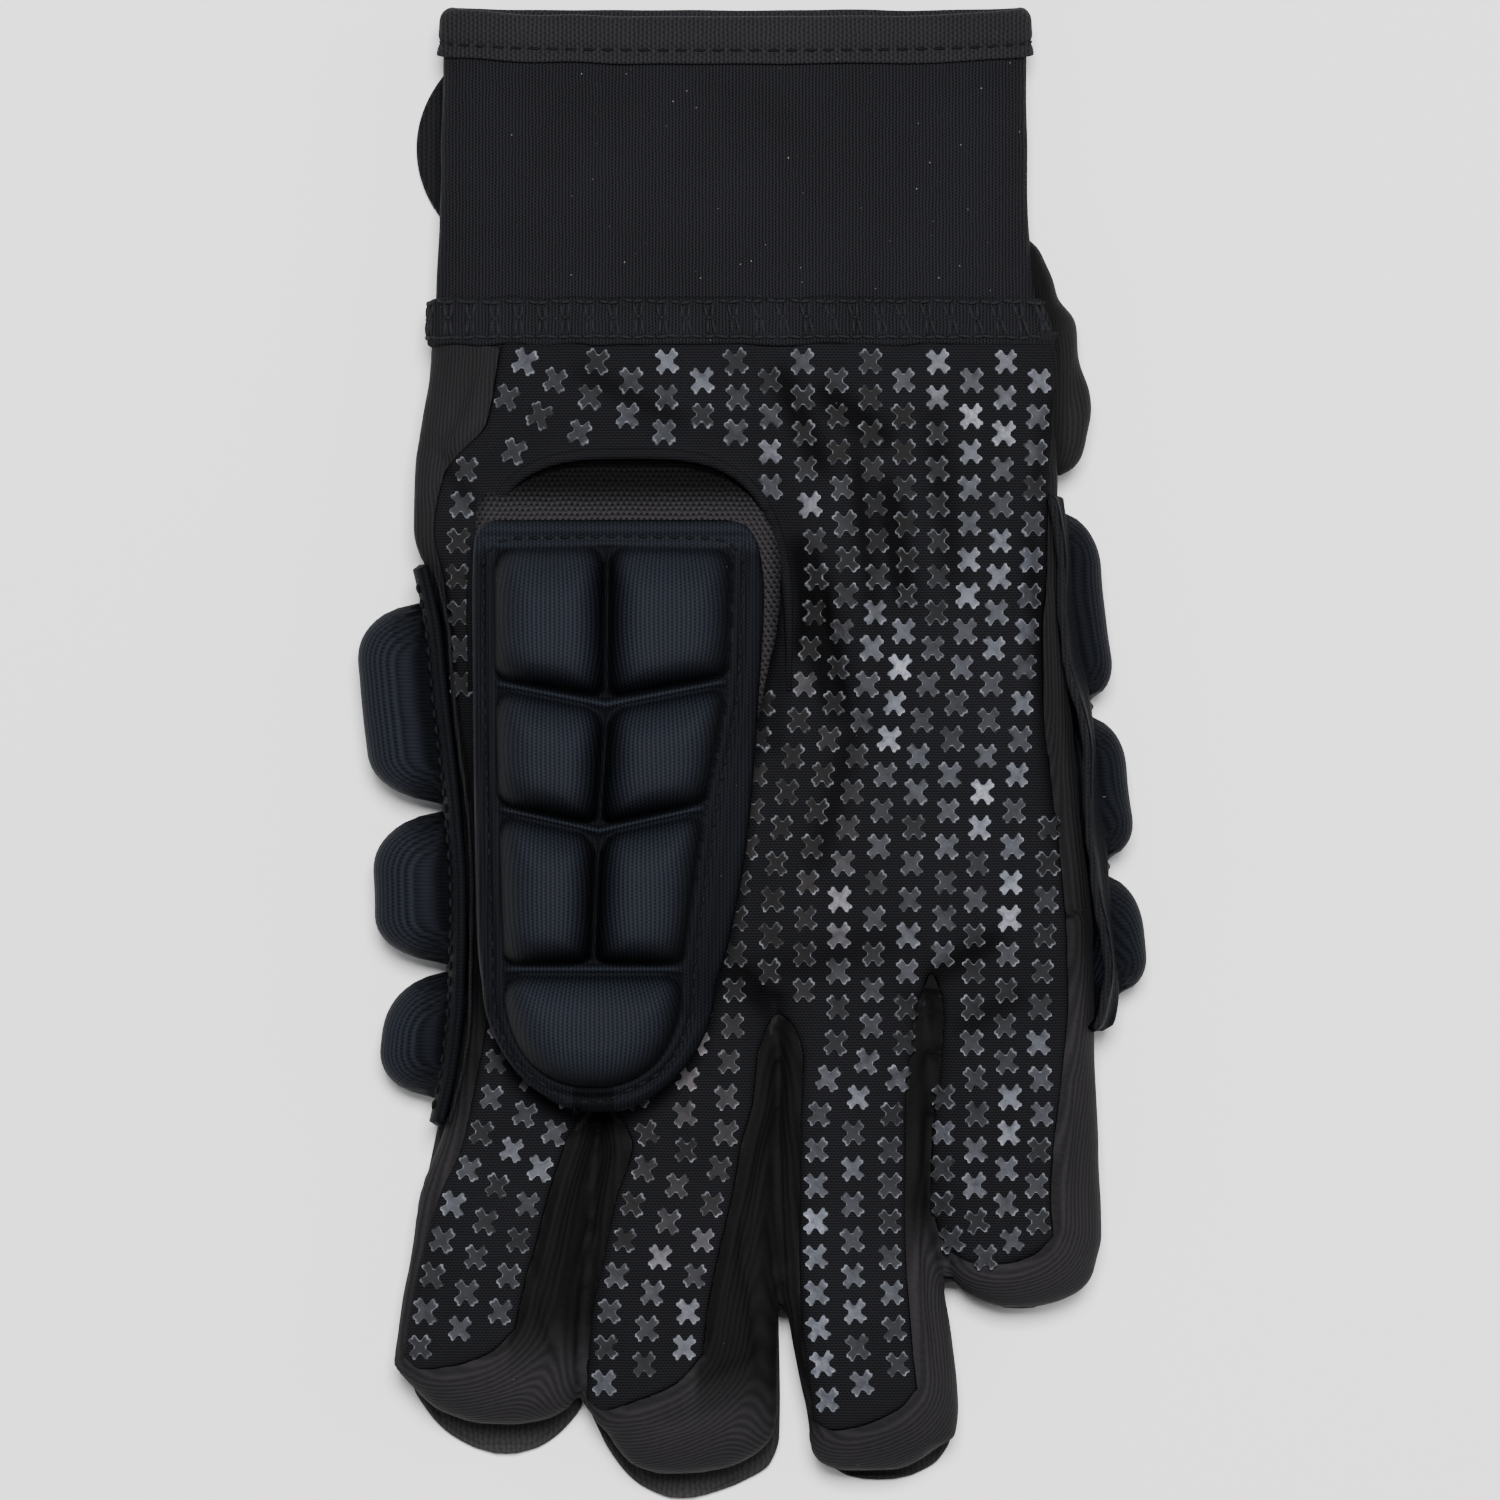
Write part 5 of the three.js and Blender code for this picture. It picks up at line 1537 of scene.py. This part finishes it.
def buildHandPad():
    s = padShape
    columnKnots = [0.0] + [side for start, end, heights in s["columns"] for side in (start, end)] + [1.0]
    columnStops = cellStops(s["acrossCells"], columnKnots)
    acrossTotal, alongTotal = sum(s["acrossCells"]), sum(s["alongCells"])
    flows, opens = [], []

    def place(gu, gv):
        u = through(columnStops, gu)
        rowKnots = padRowKnots(u)
        v = through(cellStops(s["alongCells"], rowKnots), gv)
        around = padRing(round(v, 4))[6][-1][0]
        rise = weldRidge = 0.0
        for i in range(3):
            top, low = rowKnots[1 + 2 * i], rowKnots[2 + 2 * i]
            if top <= v <= low:
                for start, end, heights in s["columns"]:
                    if start <= u <= end:
                        rise = heights[i] * cushion(min(u - start, end - u) * around / 10,
                                                    min((v - top) / 10, (low - v) / 8) * s["length"], 2.2)
            if i < 2:
                weldRidge = max(weldRidge,
                                0.8 * bell((v - (low + rowKnots[3 + 2 * i]) / 2) * s["length"] / 0.6))
        weldRidge *= roundRise(min(u - 0.04, 0.95 - u) * around / 8)
        border = min(u * around, (1 - u) * around, v * s["length"], (1 - v) * s["length"])
        thin = mix(1.0, 0.5, ease((u - 0.955) / 0.02))
        out = s["sheet"] * thin * mix(0.45, 1, roundRise(border / 0.7)) + rise + weldRidge
        if u < 0.035:
            out -= 0.25 * bell((border - 2.9) / 0.4)
        flows.append((u * around, v * s["length"], 0.0))
        # painted shade: the flanges and the sheet between blocks dark, the block crowns lit
        opens.append(mix(0.22 if u < 0.5 else 0.3, 1.0, ease(rise / 8)))
        p = padPoint(u, v, out + 0.14 * wander(u * 180, v * s["length"], 0, 7, 2))
        wave = 0.0
        if u > 0.96:
            wave = (0.7 * math.sin(v * 17) + 0.5 * wander(v * s["length"], 0, 0, 9, 3)) * bell(border / 5)
        overFloor = 0.5 * (p.z + math.sqrt(p.z * p.z + 0.25))
        return (p.x + wave, p.y, overFloor)
    pad = gridPiece("handPad", acrossTotal, alongTotal, place)
    writeFlow(pad, flows)
    writeValues(pad, "open", opens)
    faceUp(pad, False)
    thicken(pad, 1.4)
    finishPiece(pad, "padCloth", "pad_cloth", "hand_pad_base",
                *["hand_block_%d_%d" % (r, c) for r in (1, 2, 3) for c in (1, 2, 3, 4)])


def buildFlangeStitches():
    u, reach, half = 0.0155, 2.45, 0.85
    path = [padPoint(u, mix(0.03, 0.97, i / 80), reach) for i in range(81)]
    dashes = []
    for spot, along in evenRun(path, 2.6):
        v = padShare("left", spot.y)
        out = (padPoint(u, v, 3) - padPoint(u, v, 2)).normalized()
        dashes.append((spot - along * half, spot + along * half, out))
    stitchPiece("flangeStitches", dashes, 0.28)


def buildFlangeEdges():  # the doubled edge on the index side and the piping on the little finger's side
    length = padShape["length"]
    edges = (("flangeEdge", 0.0, -0.3, 0.3, 0.2), ("flangePiping", 1.0, 0.5, 0.6, 0.7))
    for name, u, out, radius, wave in edges:
        points = []
        for i in range(111):
            v = i / 110
            p = padPoint(u, v, out)
            drift = wave * (wander(v * length, 0, 0, 9, 3) + 0.7 * math.sin(v * 17))
            points.append(p + Vector((drift, 0, 0.25 + 0.3 * wander(v * length, 5, 0, 12, 1))))

        def radiusAt(v, full=radius):
            return full * roundRise(min(v, 1 - v) / 0.02) * (1 + 0.12 * math.sin(v * 90))
        finishPiece(tubeAlong(name, points, radiusAt), "strapCloth", "strap_cloth")


buildHandPad()
buildFlangeStitches()
buildFlangeEdges()
print("hand pad done")

# finger pads, wrist gusset and strap

# y, left and right of the padded tongue under each finger
fingerPadRows = {
    "index": [(-58, -50.5, -27), (-80, -54.6, -28), (-100, -56, -27.4), (-106, -55.4, -27.2),
              (-109, -53.8, -28), (-113, -50.4, -31), (-115.9, -45.6, -35), (-117.1, -41.6, -39)],
    "middle": [(-60, -24.5, 3.5), (-90, -27, 4.6), (-108, -26.4, 5), (-114, -24.2, 4.9),
               (-118.6, -21.4, 3.4), (-121.8, -18.4, -1.4), (-123.8, -14.6, -7), (-124.5, -12.4, -9.8)],
    "ring": [(-58, 6.4, 29), (-80, 7, 31), (-108, 10.4, 33.2), (-114, 11.4, 33.4), (-118, 13, 31.4),
             (-120.6, 16.4, 27), (-121.4, 20, 23.4)],
    "little": [(-50, 30.4, 56), (-70, 31, 57), (-84, 33.6, 56.6), (-88, 35.2, 55), (-91.2, 38.8, 51),
               (-92.9, 43, 47)],
}


def buildFingerPads():
    for name, rows in fingerPadRows.items():
        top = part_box("finger_pad_" + name)[1][2] / mm

        def place(u, v):
            first, last = rows[0][0], rows[-1][0]
            y = mix(first, last, mix(v, math.sin(v * math.pi / 2), 0.8))
            left, right = rowValue(rows, y, 1) - 0.5, rowValue(rows, y, 2)
            if v < 0.001 or v > 0.999:
                return ((left + right) / 2, y, top * 0.3)
            tall = mix(top, 2.6, ease((last + 11 - y) / 9))
            x, y, z = ovalPoint(u, y, left, right, 0.05, tall, 3.4)
            side = min(x - left, right - x, (y - last) * 1.2)
            seam = 0.45 * bell((side - 1.6) / 0.5) + 0.25 * bell(((first - y) % 9.5 - 4.7) / 0.8)
            return (x, y, max(0.05, z - seam * (z > tall / 2) + 0.1 * wander(x, y, z, 6)))
        pad = weld(gridPiece("fingerPad_" + name, 60, 90, place), 0.04)
        finishPiece(pad, "fingerPadCloth", "finger_pad_cloth", "finger_pad_" + name)


# y, left, right, underside and top
gussetRows = [(84.6, 44, 45.8, 11, 14), (83, 44, 47.4, 9.5, 15.4), (80, 44.4, 48.9, 8.4, 16.8),
              (76, 44.8, 50.7, 7.6, 17.8), (70.8, 45.2, 53.5, 7.2, 18.4), (64.8, 45.6, 54.8, 7.6, 18.8),
              (59, 46, 56, 8.2, 19), (55, 46.2, 56.4, 8.6, 19), (51.5, 46.6, 55.9, 9.4, 18.8),
              (48.8, 47, 55, 10.6, 18.2), (46.6, 47.6, 53.4, 12, 17.4), (45.4, 48.6, 51.4, 13.6, 16)]


def buildGusset():
    def place(u, v):
        y = mix(gussetRows[0][0], gussetRows[-1][0], clamp((v - 0.02) / 0.96))
        left, right, low, high = (rowValue(gussetRows, y, k) for k in (1, 2, 3, 4))
        if v < 0.01 or v > 0.99:
            return ((left + right) / 2, y, (low + high) / 2)
        x, y, z = ovalPoint(u, y, left, right, low, high, 2.3)
        waves = 0.35 * math.sin((x - 0.25 * y) * 1.1) * clamp((y - 46) / 6) * clamp((82 - y) / 8)
        slack = 0.5 * wander(x, y, z, 9, 5) + waves
        return (x + slack * math.cos(2 * math.pi * u), y, z + slack * math.sin(2 * math.pi * u))
    gusset = weld(gridPiece("wristGusset", 60, 76, place))
    spots = spotsOf(gusset)
    writeFlow(gusset, [(7.5 * math.atan2(p.z - 13, p.x - 48), p.y, p.z) for p in spots])
    # painted shade, darker towards lower x, beside the palm
    writeValues(gusset, "open", [mix(0.25, 0.8, ease((p.x - 49.5) / 4)) for p in spots])
    finishPiece(gusset, "stretchCloth", "stretch_cloth", "wrist_gusset")


def buildStrap():
    middle, floorGap = 100.1, 0.05
    strap = weld(copyPiece(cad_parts["wrist_strap"], "wristStrap"), 0.01)
    remesh(strap, 0.7)
    addModifier(strap, "SMOOTH", factor=0.5, iterations=3)
    for vert in strap.data.vertices:
        vert.co.z = max(vert.co.z, floorGap * mm)
        narrower = mix(1, 0.84, ease((-30 - vert.co.x / mm) / 12))
        vert.co.y = (middle + (vert.co.y / mm - 99) * narrower) * mm
    finishPiece(strap, "strapCloth", "strap_cloth", "wrist_strap")
    points = []
    for i in range(61):
        turn = math.radians(mix(128, 232, i / 60))
        points.append(Vector((-30.3 + 24.7 * math.cos(turn), middle + 20.7 * math.sin(turn), 1.7)))
    edge = tubeAlong("strapEdge", points, lambda v: 0.5)
    finishPiece(edge, "bindingTape", "binding_tape")


buildFingerPads()
buildGusset()
buildStrap()
bpy.data.objects.remove(handForm, do_unlink=True)
print("finger pads, gusset and strap done")

# floor, light and camera

def aim(thing, target):
    thing.rotation_euler = (Vector(target) - thing.location).to_track_quat("-Z", "Y").to_euler()


bpy.ops.mesh.primitive_plane_add(size=6, location=(0, 0, 0))
floor = bpy.context.object
floor.name = "floor"
paper = bpy.data.materials.new("paper")
paper.use_nodes = True
paperShader = paper.node_tree.nodes["Principled BSDF"]
paperShader.inputs["Base Color"].default_value = (0.9, 0.9, 0.9, 1)
paperShader.inputs["Roughness"].default_value = 0.9
floor.data.materials.append(paper)

gloveMiddle = 0.02  # height in metres that the lights and the camera's view are set for
lights = {  # metres and watts
    "keyLight": {"at": (0.05, 0.45, 2.6), "size": 0.55, "watts": 150},
    "sideLight": {"at": (0.9, 0.2, 0.9), "size": 0.8, "watts": 4},
    "lowLight": {"at": (-0.6, -0.7, 1.1), "size": 1.0, "watts": 3},
}
for name, light in lights.items():
    lamp = bpy.data.lights.new(name, "AREA")
    lamp.energy, lamp.size = light["watts"], light["size"]
    holder = bpy.data.objects.new(name, lamp)
    holder.location = light["at"]
    aim(holder, (0, 0, gloveMiddle))
    bpy.context.scene.collection.objects.link(holder)

world = bpy.context.scene.world or bpy.data.worlds.new("world")
bpy.context.scene.world = world
world.use_nodes = True
sky = world.node_tree.nodes["Background"]
sky.inputs["Color"].default_value = (0.95, 0.97, 1.0, 1)
sky.inputs["Strength"].default_value = 0.22

cameraData = bpy.data.cameras.new("camera")
camera = bpy.data.objects.new("camera", cameraData)
cameraHeight, viewHalf = 2.2, 0.12375  # metres: the photograph shows 247.5 mm across
cameraData.sensor_fit = "HORIZONTAL"
cameraData.angle = 2 * math.atan(viewHalf / (cameraHeight - gloveMiddle))
camera.location = (0, 0, cameraHeight)
camera.rotation_euler = (0, 0, 0)
bpy.context.scene.collection.objects.link(camera)
bpy.context.scene.camera = camera
